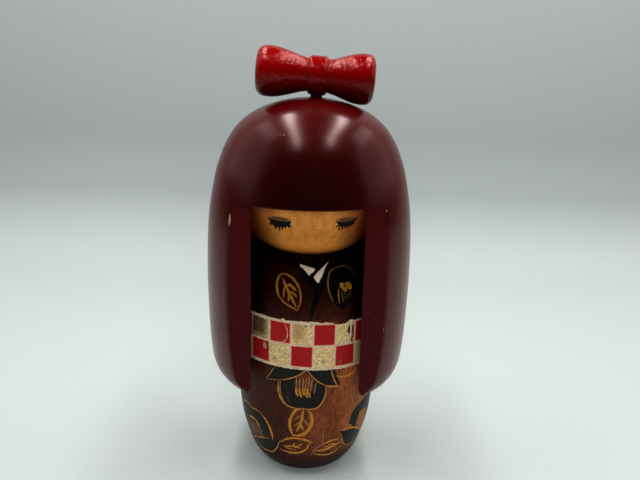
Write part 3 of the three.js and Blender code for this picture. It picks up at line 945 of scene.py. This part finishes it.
# Left eye, closed: a full crescent with a heavy outer corner and fine lashes under it.
area("black", [(-27, 97.5), (-25.6, 96.7), (-22, 96.3), (-18, 96.1), (-14, 96.2), (-10.8, 96.5)],
     [(-10.8, 96.5), (-11.6, 95.5), (-13, 94.7), (-15.4, 94.2), (-18.5, 93.9), (-21, 93.8), (-23, 93.9)],
     [(-23, 93.9), (-24.8, 94.4), (-25.4, 95.4), (-26.4, 96.3), (-27, 97.5)])
cut([(-24, 95.4), (-25.4, 94.8), (-27, 94.6)], 0.95, "black", 0.9, 0.25, 0.05)
cut([(-21.6, 95), (-22.6, 93.9), (-23.8, 92.9)], 0.8, "black", 0.9, 0.2, 0.05)
for start, end, low in ((-19.8, -20.4, 92.6), (-17.8, -17.9, 93.1), (-15.8, -15.6, 93.7),
                        (-13.6, -12.8, 94.0), (-12.2, -11.1, 94.5)):
    cut([(start, 94.8), ((start + end) / 2, (low + 94.7) / 2), (end, low - 0.2)], 0.62, "black", 0.9, 0.3,
        0.05)
# Right eye, narrower, with its outer corner drawn up.
area("black", [(17.2, 96.9), (19.4, 96.5), (23, 96.2), (27, 96.4), (30, 97), (32.8, 98)],
     [(32.8, 98), (32, 96.8), (31.2, 95.7), (29.4, 94.9), (27, 94.4), (24, 94.4), (21, 94.9), (19, 95.8),
      (17.2, 96.9)])
for start, end, low in ((20.4, 18.9, 94.6), (22, 21, 93.6), (23.8, 23.5, 93.4), (25.6, 25.9, 93.7),
                        (27.4, 28, 94), (29, 30.2, 94.6), (30.4, 31.8, 95.6)):
    cut([(start, 95.3), ((start + end) / 2, (low + 95.1) / 2), (end, low - 0.2)], 0.56, "black", 0.9, 0.3,
        0.05)


def head_mesh():
    heights = np.linspace(FACE_LOW - 1, FACE_HIGH + 1, FACE_ROWS)
    face_wall = [(ball_radius(height), height) for height in heights]
    low_angle = math.asin((FACE_LOW - HEAD_BALL[0]) / HEAD_BALL[1])
    socket_angle = -math.acos(HEAD_SOCKET[0] / HEAD_BALL[1])
    chin = []
    for step in range(CHIN_ROWS + 1):
        angle = low_angle + (socket_angle - low_angle) * step / CHIN_ROWS
        chin.append((HEAD_BALL[1] * math.cos(angle), HEAD_BALL[0] + HEAD_BALL[1] * math.sin(angle)))
    chin += [HEAD_SOCKET, (AXIS_GAP, HEAD_SOCKET[1])]
    crown = [(ball_radius(FACE_HIGH), FACE_HIGH), (HEAD_BAND[0], CROWN_SHOULDER), HEAD_BAND]
    crown += smooth_run(HEAD_CROWN, 4)[1:] + [(4, HEAD_CROWN[-1][1]), (AXIS_GAP, HEAD_CROWN[-1][1])]
    pattern = lay_out_pattern(FACE_KINDS, FACE_LOW, FACE_HIGH)
    mesh = patterned_turning("head", pattern, face_wall, chin, 0, crown, 0)
    shade_painted_wall(mesh, ())
    return mesh


def build_patch_group():
    """A soft-edged spot on the doll; Middle and Size are in mm, Softness from 0 to 1."""
    inputs = {"Middle": Vector((0, 0, 0)), "Size": Vector((1, 1, 1)), "Softness": 0.5}
    tree, given, out = new_group("Soft spot", inputs, {"Mask": "NodeSocketFloat"})
    place = object_place(tree)
    in_mm = add_node(tree, "VectorMath", {0: place, 1: (1000, 1000, 1000)}, operation="MULTIPLY").outputs[0]
    offset = add_node(tree, "VectorMath", {0: in_mm, 1: given.outputs["Middle"]},
                      operation="SUBTRACT").outputs[0]
    relative = add_node(tree, "VectorMath", {0: offset, 1: given.outputs["Size"]},
                        operation="DIVIDE").outputs[0]
    away = add_node(tree, "VectorMath", {0: relative}, operation="LENGTH").outputs["Value"]
    inner = math_node(tree, "SUBTRACT", 1.0, given.outputs["Softness"])
    tree.links.new(spread(tree, away, inner, 1.0, 1.0, 0.0), out.inputs["Mask"])
    return tree


SOFT_SPOT = build_patch_group()


def spot(tree, degrees, height, radius, size, softness):
    """Mask of a soft spot at an angle and height on a turned surface of the given radius."""
    angle = math.radians(degrees)
    middle = (radius * math.sin(angle), -radius * math.cos(angle), height)
    return use_group(tree, SOFT_SPOT, Middle=middle, Size=size, Softness=softness)["Mask"]


def make_face_wood():
    """Oiled pale wood with fine upright grain, soft brown lid shade, and small marks."""
    material, tree, shader = new_material("oiled face wood", (0.5, 0.26, 0.08), 0.45,
                                          Specular_IOR_Level=0.12)
    grain = use_group(tree, GRAIN, Width=0.28, Length=14.0, Band_Width=2.0)
    pale = mix_colours(tree, grain["Bands"], (0.54, 0.22, 0.046), (0.68, 0.32, 0.078))
    colour = mix_colours(tree, multiply(tree, grain["Fibre"], 0.3), pale, (0.38, 0.14, 0.03))
    colour = mix_colours(tree, multiply(tree, grain["Pores"], 0.3), colour, (0.2, 0.07, 0.02))
    # Paler on the chin with painted light bounced up from the board, and darker towards the sides with
    # painted shade, where the locks shade it.
    across, _, up = object_axes(tree)
    colour = mix_colours(tree, spread(tree, up, 0.0825, 0.0905, 1.0, 0.0), colour, (1.0, 0.42, 0.09))
    side = spread(tree, math_node(tree, "ABSOLUTE", across), 0.0085, 0.0168, 0.0, 0.93)
    colour = mix_colours(tree, side, colour, (0.14, 0.018, 0.0005))
    # Upright grain lines, the shade on the lids, a red smear between the eyes, and four specks.
    for degrees in (-25, -11.5, -1.6, 5.4, 16.2, 27):
        line = spot(tree, degrees, 95, 28.5, (0.22, 9, 30), 0.9)
        colour = mix_colours(tree, multiply(tree, line, 0.3), colour, (0.22, 0.06, 0.02))
    for degrees, height, radius, size in ((-18.6, 96.8, 28.4, (4.6, 3.2, 1.15)),
                                          (25, 97, 28.5, (4.2, 3.6, 1.1))):
        shade = multiply(tree, spot(tree, degrees, height, radius, size, 0.45), 0.9)
        colour = mix_colours(tree, shade, colour, (0.07, 0.042, 0.022))
    for degrees, height, size in ((2.9, 94.7, (0.75, 2, 0.7)), (4.3, 94.9, (0.7, 2, 0.6)),
                                  (3.7, 93.6, (0.6, 2, 0.9))):
        mark = multiply(tree, spot(tree, degrees, height, 27.3, size, 0.7), 0.55)
        colour = mix_colours(tree, mark, colour, (0.42, 0.09, 0.05))
    for degrees, height, radius in ((-8.5, 84.9, 18.5), (-2, 85, 18.6), (16, 87.7, 21.9),
                                    (21.5, 93.4, 26.5)):
        speck = multiply(tree, spot(tree, degrees, height, radius, (0.5, 1.5, 0.35), 0.6), 0.6)
        colour = mix_colours(tree, speck, colour, (0.16, 0.035, 0.012))
    tree.links.new(colour, shader.inputs["Base Color"])
    tree.links.new(spread(tree, grain["Fibre"], 0.3, 0.7, 0.38, 0.5), shader.inputs["Roughness"])
    add_bump(tree, shader, grain["Fibre"], 0.02)
    return material


LASH_PAINT = make_paint("black lash paint", (0.01, 0.009, 0.009), (0.03, 0.02, 0.014), 0.45, 0.4)
add_piece("turned_head", head_mesh(), "head", "head", "face_wood", make_face_wood(), LASH_PAINT)

# ---------------------------------------------------------------- hair
# A hollow turning of bobbed hair, lacquered dark red-brown. Below the fringe the front is
# sawn off flat, which leaves two side locks with matte faces; it is glued over the crown.
HAIR_TIP = (31.6, 35.7)
HAIR_OUTSIDE = [HAIR_TIP, (32.9, 37.5), (33.95, 40), (34.7, 43.5), (35.45, 52), (35.85, 63), (36, 72),
                (35.8, 84), (35, 95.3), (33.1, 106.3), (31.2, 112.9), (28.7, 118.7), (24.7, 124.3),
                (19.2, 128.5), (12.9, 131.2), (6.2, 132.8), (0, 133.3)]
HAIR_BORE = 30.67
HAIR_BEVEL_TOP = 37.5                # the rim is bevelled inwards up to here
HAIR_CEILING = [(30.67, 103), (29.8, 106.4), (27.2, 110.4), (22.8, 114.2), (16.5, 117.1), (9.4, 118),
                (0, 118.2)]
FRINGE = 101.0
SAWN_FACE = 24.9                     # distance of the flat lock faces in front of the axis
FACE_EDGE = 0.35                     # easing of the outer edges of the faces
INNER_CHAMFER = 1.1
FRINGE_ROUNDING = 0.35
HAIR_PEG_HOLE = (2.2, -14.9, -4.4)   # radius, foot and mouth, from the middle of the bow
CHIPS = (                            # degrees, height, radius and size; the drips too
    (15.5, 101, 34.1, (0.45, 1, 0.35)), (-45.5, 95.8, 35, (0.55, 0.6, 2.5)),
    (45.5, 99.8, 34.4, (0.3, 0.4, 0.3)), (45.6, 60, 35.6, (0.3, 0.4, 0.35)),
)
DRIPS = (
    (-20.6, 122.4, 26.3, (0.5, 0.5, 0.5)), (-17.8, 122.4, 26.3, (0.6, 0.5, 0.35)),
    (-6.8, 126, 22.9, (0.5, 0.5, 0.4)), (6.1, 125, 24, (0.3, 0.3, 0.3)),
    (43.9, 105.5, 33.3, (0.4, 0.4, 0.5)),
)
BACK_COLUMNS = 132
FRONT_COLUMNS = 44


def hair_outline():
    """Outer (radius, height) points with one row exactly at the fringe."""
    run = smooth_run(HAIR_OUTSIDE, 7)
    radii, heights = np.array(run).T
    rows = [HAIR_TIP, (float(np.interp(HAIR_BEVEL_TOP, heights, radii)), HAIR_BEVEL_TOP)]
    rows += [(r, h) for r, h in run if HAIR_BEVEL_TOP + 0.4 < h < FRINGE - 0.4]
    lower = rows + [(float(np.interp(FRINGE, heights, radii)), FRINGE)]
    return lower, [(r, h) for r, h in run if h > FRINGE + 0.6]


def hair_mesh():
    lower, upper = hair_outline()
    verts, faces, kinds = [], [], []

    def put(radius, angle, height):
        verts.append((radius * math.sin(angle), -radius * math.cos(angle), height))
        return len(verts) - 1

    def put_at(x, y, height):
        verts.append((x, y, height))
        return len(verts) - 1

    def face(*corners, kind=0):
        faces.append(corners)
        kinds.append(kind)

    def spaced(start, end, count):
        return [start + (end - start) * k / (count - 1) for k in range(count)]

    def close_over(ring, angles, rows, way):
        """Rows of faces from a ring up to the axis; way is 1 for the outside and -1 for the hollow."""
        for radius, height in rows[:-1]:
            above = [put(radius, angle, height) for angle in angles]
            for k in range(len(ring)):
                beside = (k + 1) % len(ring)
                face(*(ring[k], ring[beside], above[beside], above[k])[::way])
            ring = above
        top = put(0, 0, rows[-1][1])
        for k in range(len(ring)):
            face(*(ring[k], ring[(k + 1) % len(ring)], top)[::way])

    inner_limit = math.acos((SAWN_FACE - 0.2) / HAIR_BORE)
    inner_edge_x = math.sqrt(HAIR_BORE ** 2 - SAWN_FACE ** 2)
    inner_angles = spaced(inner_limit, 2 * math.pi - inner_limit, BACK_COLUMNS)
    loops = []
    for row, (radius, height) in enumerate(lower):
        limit = math.acos(SAWN_FACE / radius) + FACE_EDGE / radius
        outer_angles = spaced(limit, 2 * math.pi - limit, BACK_COLUMNS)
        face_x = math.sqrt(radius ** 2 - SAWN_FACE ** 2) - FACE_EDGE * 0.7
        bore = HAIR_BORE if row else radius
        inside = inner_angles if row else outer_angles
        near_x = inner_edge_x + INNER_CHAMFER if row else face_x
        outer = [put(radius, angle, height) for angle in outer_angles]
        inner = [put(bore, angle, height) for angle in inside]
        faces_left = [put_at(-face_x, -SAWN_FACE, height), put_at(-near_x, -SAWN_FACE, height)]
        faces_right = [put_at(face_x, -SAWN_FACE, height), put_at(near_x, -SAWN_FACE, height)]
        loops.append((outer, inner, faces_left, faces_right))
    for low, high in zip(loops, loops[1:]):
        for k in range(BACK_COLUMNS - 1):
            face(low[0][k], low[0][k + 1], high[0][k + 1], high[0][k])
            face(low[1][k + 1], low[1][k], high[1][k], high[1][k + 1])
        face(low[3][0], low[0][0], high[0][0], high[3][0])
        face(low[3][1], low[3][0], high[3][0], high[3][1], kind=1)
        face(low[1][0], low[3][1], high[3][1], high[1][0], kind=1)
        face(low[0][-1], low[2][0], high[2][0], high[0][-1])
        face(low[2][0], low[2][1], high[2][1], high[2][0], kind=1)
        face(low[2][1], low[1][-1], high[1][-1], high[2][1], kind=1)
    outer, inner, faces_left, faces_right = loops[-1]
    fringe_radius = lower[-1][0]
    limit = math.acos(SAWN_FACE / fringe_radius) + FACE_EDGE / fringe_radius
    front_angles = spaced(-limit, limit, FRONT_COLUMNS)[1:-1]
    hollow_angles = spaced(-inner_limit, inner_limit, FRONT_COLUMNS)[1:-1]
    outer_front = [put(fringe_radius, angle, FRINGE) for angle in front_angles]
    inner_front = [put(HAIR_BORE, angle, FRINGE) for angle in hollow_angles]
    for k in range(FRONT_COLUMNS - 3):
        face(outer_front[k + 1], outer_front[k], inner_front[k], inner_front[k + 1], kind=1)
    face(outer[0], faces_right[0], faces_right[1], inner[0], inner_front[-1], outer_front[-1], kind=1)
    face(inner[-1], faces_left[1], faces_left[0], outer[-1], outer_front[0], inner_front[0], kind=1)
    back_angles = spaced(limit, 2 * math.pi - limit, BACK_COLUMNS)
    close_over(outer + outer_front, back_angles + front_angles, upper, 1)
    close_over(inner + inner_front, inner_angles + hollow_angles, smooth_run(HAIR_CEILING, 3), -1)
    mesh = bpy.data.meshes.new("hair")
    mesh.from_pydata([Vector(v) * MM for v in verts], [], faces)
    mesh.polygons.foreach_set("material_index", kinds)
    build = bmesh.new()
    build.from_mesh(mesh)
    bmesh.ops.remove_doubles(build, verts=build.verts, dist=WELD_REACH)
    bmesh.ops.dissolve_degenerate(build, dist=1e-3 * MM, edges=build.edges)
    soften_fringe(build)
    build.to_mesh(mesh)
    build.free()
    mesh.shade_smooth()
    mesh.set_sharp_from_angle(angle=math.radians(32))
    return mesh


def soften_fringe(build):
    """Rounds the lower edge of the fringe a little, as the brush left it."""
    def on_edge(vert):
        in_front = vert.co.y / MM < -SAWN_FACE - 0.4 and vert.co.xy.length / MM > HAIR_BORE + 1
        return in_front and abs(vert.co.z / MM - FRINGE) < 0.01

    edges = [edge for edge in build.edges if len(edge.link_faces) == 2 and all(map(on_edge, edge.verts))]
    bmesh.ops.bevel(build, geom=edges, offset=FRINGE_ROUNDING * MM, segments=3, profile=0.5,
                    affect="EDGES", material=1, clamp_overlap=True)


def drilled(mesh, place, radius, low, high):
    """The mesh with a round hole through it, along the Z of the given place matrix."""
    drill_profile = [(0, low), (radius, low), (radius, high), (0, high)]
    drill = bpy.data.objects.new("drill", turned_mesh("drill", drill_profile, 48))
    drill.matrix_world = place
    block = bpy.data.objects.new("block", mesh)
    for item in (drill, block):
        bpy.context.scene.collection.objects.link(item)
    hole = block.modifiers.new("hole", "BOOLEAN")
    hole.object = drill
    hole.operation = "DIFFERENCE"
    hole.solver = "EXACT"
    bpy.context.view_layer.update()
    done = bpy.data.meshes.new_from_object(block.evaluated_get(bpy.context.evaluated_depsgraph_get()))
    for item in (drill, block):
        bpy.data.objects.remove(item)
    return done


BOW_MIDDLE = (1.6, 0, 140.3)
BOW_TILT = 3.5                       # degrees; the +X end hangs lower
bow_place = Matrix.Translation(Vector(BOW_MIDDLE) * MM) @ Matrix.Rotation(math.radians(BOW_TILT), 4, "Y")


def build_ring_group():
    """Fine rings that the turning tool left round the piece; Spacing in mm."""
    tree, given, out = new_group("Lathe rings", {"Spacing": 0.5}, {"Height": "NodeSocketFloat"})
    height = object_axes(tree)[2]
    rows = multiply(tree, height, math_node(tree, "DIVIDE", 1000.0, given.outputs["Spacing"]))
    rings = add_node(tree, "TexNoise", {"W": rows, "Scale": 1.0, "Detail": 3.0}, noise_dimensions="1D")
    tree.links.new(rings.outputs[0], out.inputs["Height"])
    return tree


LATHE_RINGS = build_ring_group()


def make_hair_lacquer():
    """Dark red lacquer with faint lathe rings under it, a few nibs and drips, and four chips."""
    material, tree, shader = new_material("dark red lacquer", (0.04, 0.0008, 0.001), 0.24,
                                          Specular_IOR_Level=0.48, Specular_Tint=(1, 0.78, 0.75, 1))
    # Painted light and shade: redder on the dome and round the sides and back, where the light falls from
    # above, than on the shaded fringe.
    _, back, up = object_axes(tree)
    wear_and_light = math_node(tree, "MAXIMUM", spread(tree, up, 0.11, 0.13, 0.0, 0.85),
                     spread(tree, back, -0.034, -0.012))
    colour = mix_colours(tree, wear_and_light, (0.016, 0.0002, 0.0003), (0.105, 0.0009, 0.0012))
    for degrees, height, radius, size in CHIPS:
        chip = spot(tree, degrees, height, radius, size, 0.35)
        colour = mix_colours(tree, multiply(tree, chip, 0.8), colour, (0.5, 0.33, 0.22))
    tree.links.new(colour, shader.inputs["Base Color"])
    rings = use_group(tree, LATHE_RINGS, Spacing=0.9)["Height"]
    nibs = use_group(tree, SPECKS, Size=0.35, Amount=0.06)["Mask"]
    height = math_node(tree, "ADD", rings, multiply(tree, nibs, 2.0))
    for degrees, middle, radius, size in DRIPS:
        drip = spot(tree, degrees, middle, radius, size, 1.0)
        height = math_node(tree, "ADD", height, multiply(tree, drip, 25.0))
    add_bump(tree, shader, height, 0.006)
    return material


def make_sawn_stain():
    """Thin purple-brown stain on the flat sawn faces, with dark open pores."""
    material, tree, shader = new_material("stained sawn face", (0.04, 0.008, 0.011), 0.62,
                                          Specular_IOR_Level=0.12)
    grain = use_group(tree, GRAIN, Width=0.3, Length=1.8, Band_Width=5.0)
    base = mix_colours(tree, grain["Fibre"], (0.045, 0.004, 0.006), (0.09, 0.01, 0.013))
    towards_fringe = spread(tree, object_axes(tree)[2], 0.07, 0.1, 0.0, 0.65)
    base = mix_colours(tree, towards_fringe, base, (0.085, 0.0015, 0.002))
    colour = mix_colours(tree, multiply(tree, grain["Pores"], 0.8), base, (0.012, 0.003, 0.004))
    tree.links.new(colour, shader.inputs["Base Color"])
    add_bump(tree, shader, grain["Fibre"], 0.05)
    return material


HAIR_LACQUER = make_hair_lacquer()
hair_blank = hair_mesh()
hair_blank.materials.append(HAIR_LACQUER)
hair_blank.materials.append(make_sawn_stain())
hollow_hair = drilled(hair_blank, bow_place, *HAIR_PEG_HOLE)
add_piece("hollow_turned_hair", hollow_hair, "head", "hair", "hair_lacquer")

# ---------------------------------------------------------------- bow peg
# A thin dowel stained red, glued into the bow; it sits in a hole in the crown of the hair.
PEG_RADIUS = 2.0
PEG_TOP = -1.6                       # from the middle of the bow, along the peg
PEG_FOOT = -14.4
PEG_CHAMFER = 0.4


def make_peg_stain():
    material, tree, shader = new_material("dark red peg stain", (0.03, 0.003, 0.003), 0.5)
    grain = use_group(tree, GRAIN, Width=0.25, Length=4.0, Band_Width=1.5)
    colour = mix_colours(tree, grain["Fibre"], (0.02, 0.002, 0.002), (0.06, 0.006, 0.005))
    tree.links.new(colour, shader.inputs["Base Color"])
    add_bump(tree, shader, grain["Fibre"], 0.03)
    return material


peg_profile = [
    (0, PEG_FOOT), (PEG_RADIUS - PEG_CHAMFER, PEG_FOOT), (PEG_RADIUS, PEG_FOOT + PEG_CHAMFER),
    (PEG_RADIUS, PEG_TOP - PEG_CHAMFER), (PEG_RADIUS - PEG_CHAMFER, PEG_TOP), (0, PEG_TOP),
]
peg_mesh = turned_mesh("bow peg", peg_profile, 40)
peg_mesh.transform(bow_place)
add_piece("turned_bow_peg", peg_mesh, "bow", "bow_peg", "peg_wood", make_peg_stain())

# ---------------------------------------------------------------- bow
# A spool with a raised band, one turning, dipped in thick red lacquer that dried with a
# finely wrinkled skin. It is drilled from below for its peg.
BAND_RADIUS = 6.4
BAND_HALF = 3.2
LONG_LOBE = 20.9                     # from the middle of the band to the -X end
SHORT_LOBE = 19.2
BOW_PEG_HOLE = (2.3, -8, -1.3)       # radius, mouth and end, from the middle of the bow
LOBE_SHAPE = [(5.5, 0), (5.5, 0.03), (5.9, 0.14), (6.55, 0.26), (7.3, 0.4), (8.05, 0.56), (8.35, 0.7),
              (8.35, 0.79), (8.1, 0.87), (7.5, 0.93), (6.6, 0.965), (5.2, 0.983), (3.4, 0.994)]


def lobe(length):
    """(radius, distance) points from the middle of the band to one end of the bow."""
    edge = [(BAND_RADIUS + 0.05, 0), (BAND_RADIUS, 1.6), (BAND_RADIUS - 0.03, 2.4),
            (BAND_RADIUS - 0.16, 2.8), (BAND_RADIUS - 0.42, 3.08), (BAND_RADIUS - 0.75, BAND_HALF)]
    reach = length - BAND_HALF
    swell = [(radius, BAND_HALF + reach * along) for radius, along in smooth_run(LOBE_SHAPE, 4)]
    return edge + swell + [(0, length)]


def make_bow_lacquer():
    """Thick red lacquer with a wrinkled skin, with painted shade darkening it towards the underside."""
    material, tree, shader = new_material("bright red lacquer", (0.3, 0.002, 0.003), 0.12,
                                          Specular_IOR_Level=0.45, Specular_Tint=(1, 0.66, 0.6, 1))
    place = object_place(tree)
    skin = add_node(tree, "TexNoise", {"Vector": place, "Scale": 900.0, "Detail": 3.0,
                                       "Roughness": 0.5}).outputs[0]
    cells = add_node(tree, "TexVoronoi", {"Vector": place, "Scale": 1000.0}, feature="SMOOTH_F1").outputs[0]
    wrinkles = math_node(tree, "ADD", skin, multiply(tree, cells, 0.5))
    red = mix_colours(tree, skin, (0.24, 0.0004, 0.0008), (0.38, 0.0008, 0.0014))
    # Painted shade on the lower half of the bow.
    underside_shade = spread(tree, object_axes(tree)[2], 0.1345, 0.1455, 0.97, 0.0)
    colour = mix_colours(tree, underside_shade, red, (0.05, 0.0002, 0.0003))
    tree.links.new(colour, shader.inputs["Base Color"])
    add_bump(tree, shader, wrinkles, 0.24)
    return material


bow_profile = [(radius, -distance) for radius, distance in lobe(LONG_LOBE)[:0:-1]] + lobe(SHORT_LOBE)
bow_mesh = turned_mesh("bow", bow_profile, 144)
bow_mesh.transform(bow_place @ Matrix.Rotation(math.radians(90), 4, "Y"))
drilled_bow = drilled(bow_mesh, bow_place, *BOW_PEG_HOLE)
add_piece("red_spool_bow", drilled_bow, "bow", "bow", "bow_lacquer", make_bow_lacquer())

# ---------------------------------------------------------------- studio
# A pale sweep of board that rises behind the doll, soft lamps, and the camera, which
# looks a little down at the doll from the front.
SWEEP_BACK = 310.0
SWEEP_BEND = 90.0
SWEEP_HEIGHT = 700.0
SWEEP_HALF_WIDTH = 1500.0
SWEEP_FRONT = -560.0
SWEEP_BEND_STEPS = 12


def sweep_mesh():
    profile = [(SWEEP_FRONT, 0), (SWEEP_BACK - SWEEP_BEND, 0)]
    for step in range(1, SWEEP_BEND_STEPS + 1):
        angle = math.radians(90 * step / SWEEP_BEND_STEPS)
        profile.append((SWEEP_BACK - SWEEP_BEND + SWEEP_BEND * math.sin(angle),
                        SWEEP_BEND * (1 - math.cos(angle))))
    profile.append((SWEEP_BACK, SWEEP_HEIGHT))
    verts = [(side * SWEEP_HALF_WIDTH * MM, y * MM, z * MM) for y, z in profile for side in (-1, 1)]
    faces = [(2 * k, 2 * k + 1, 2 * k + 3, 2 * k + 2) for k in range(len(profile) - 1)]
    mesh = bpy.data.meshes.new("sweep")
    mesh.from_pydata(verts, [], faces)
    mesh.shade_smooth()
    return mesh


def make_board():
    """Board that is palest where it lies flat and a little greyer where it stands."""
    material, tree, shader = new_material("pale board", (0.74, 0.78, 0.75), 0.8, Specular_IOR_Level=0.2)
    up = object_axes(tree)[2]
    shade = mix_colours(tree, spread(tree, up, 0.0, 0.045), (0.61, 0.65, 0.63), (0.42, 0.45, 0.445))
    shade = mix_colours(tree, spread(tree, up, 0.045, 0.2), shade, (0.46, 0.485, 0.475))
    tree.links.new(shade, shader.inputs["Base Color"])
    return material


sweep = bpy.data.objects.new("sweep", sweep_mesh())
sweep.data.materials.append(make_board())
bpy.context.scene.collection.objects.link(sweep)


def add_lamp(name, place, target, size, power):
    """A rectangular soft lamp at a place in mm, aimed at a target; power is in watts."""
    lamp = bpy.data.lights.new(name, "AREA")
    lamp.shape = "RECTANGLE"
    lamp.size, lamp.size_y = size[0] * MM, size[1] * MM
    lamp.energy = power
    holder = bpy.data.objects.new(name, lamp)
    holder.location = Vector(place) * MM
    holder.rotation_euler = (Vector(target) - Vector(place)).to_track_quat("-Z", "Y").to_euler()
    bpy.context.scene.collection.objects.link(holder)
    return holder


add_lamp("left tube", (-130, -25, 545), (-130, -25, 0), (50, 560), 1.45)
add_lamp("right tube", (170, 10, 545), (170, 10, 0), (50, 560), 1.45)
add_lamp("left wall", (-560, 0, 370), (0, 0, 70), (620, 440), 0.7)
add_lamp("right wall", (600, 40, 360), (0, 0, 70), (620, 460), 0.7)
add_lamp("left panel", (-350, 70, 545), (-350, 70, 0), (180, 400), 0.5)
add_lamp("right panel", (430, 120, 545), (430, 120, 0), (200, 380), 0.55)
front_fill = add_lamp("front fill", (60, -650, 330), (0, 0, 70), (420, 300), 2.5)
front_fill.visible_glossy = False
front_fill.data.specular_factor = 0

world = bpy.data.worlds.new("room")
world.use_nodes = True
background = world.node_tree.nodes["Background"]
background.inputs["Color"].default_value = (0.8, 0.86, 0.84, 1)
seen_by_camera = add_node(world.node_tree, "LightPath").outputs["Is Camera Ray"]
room_light = spread(world.node_tree, seen_by_camera, 0, 1, 0.03, 0.5)
world.node_tree.links.new(room_light, background.inputs["Strength"])
bpy.context.scene.world = world
bpy.context.scene.view_settings.view_transform = "Standard"
bpy.context.scene.view_settings.gamma = 0.8

CAMERA_PLACE = (3.8, -221.3, 141.8)
CAMERA_LENS = 36
CAMERA_SENSOR = 36
CAMERA_PITCH = 14.8                  # degrees below level
CAMERA_ROLL = 1.6                    # degrees; the camera is held a little askew
camera = bpy.data.objects.new("camera", bpy.data.cameras.new("camera"))
camera.data.lens = CAMERA_LENS
camera.data.sensor_width = CAMERA_SENSOR
camera.data.clip_start = 0.01
camera.location = Vector(CAMERA_PLACE) * MM
level = Matrix.Rotation(math.radians(90 - CAMERA_PITCH), 3, "X")
camera.rotation_euler = (level @ Matrix.Rotation(math.radians(CAMERA_ROLL), 3, "Z")).to_euler()
bpy.context.scene.collection.objects.link(camera)
bpy.context.scene.camera = camera
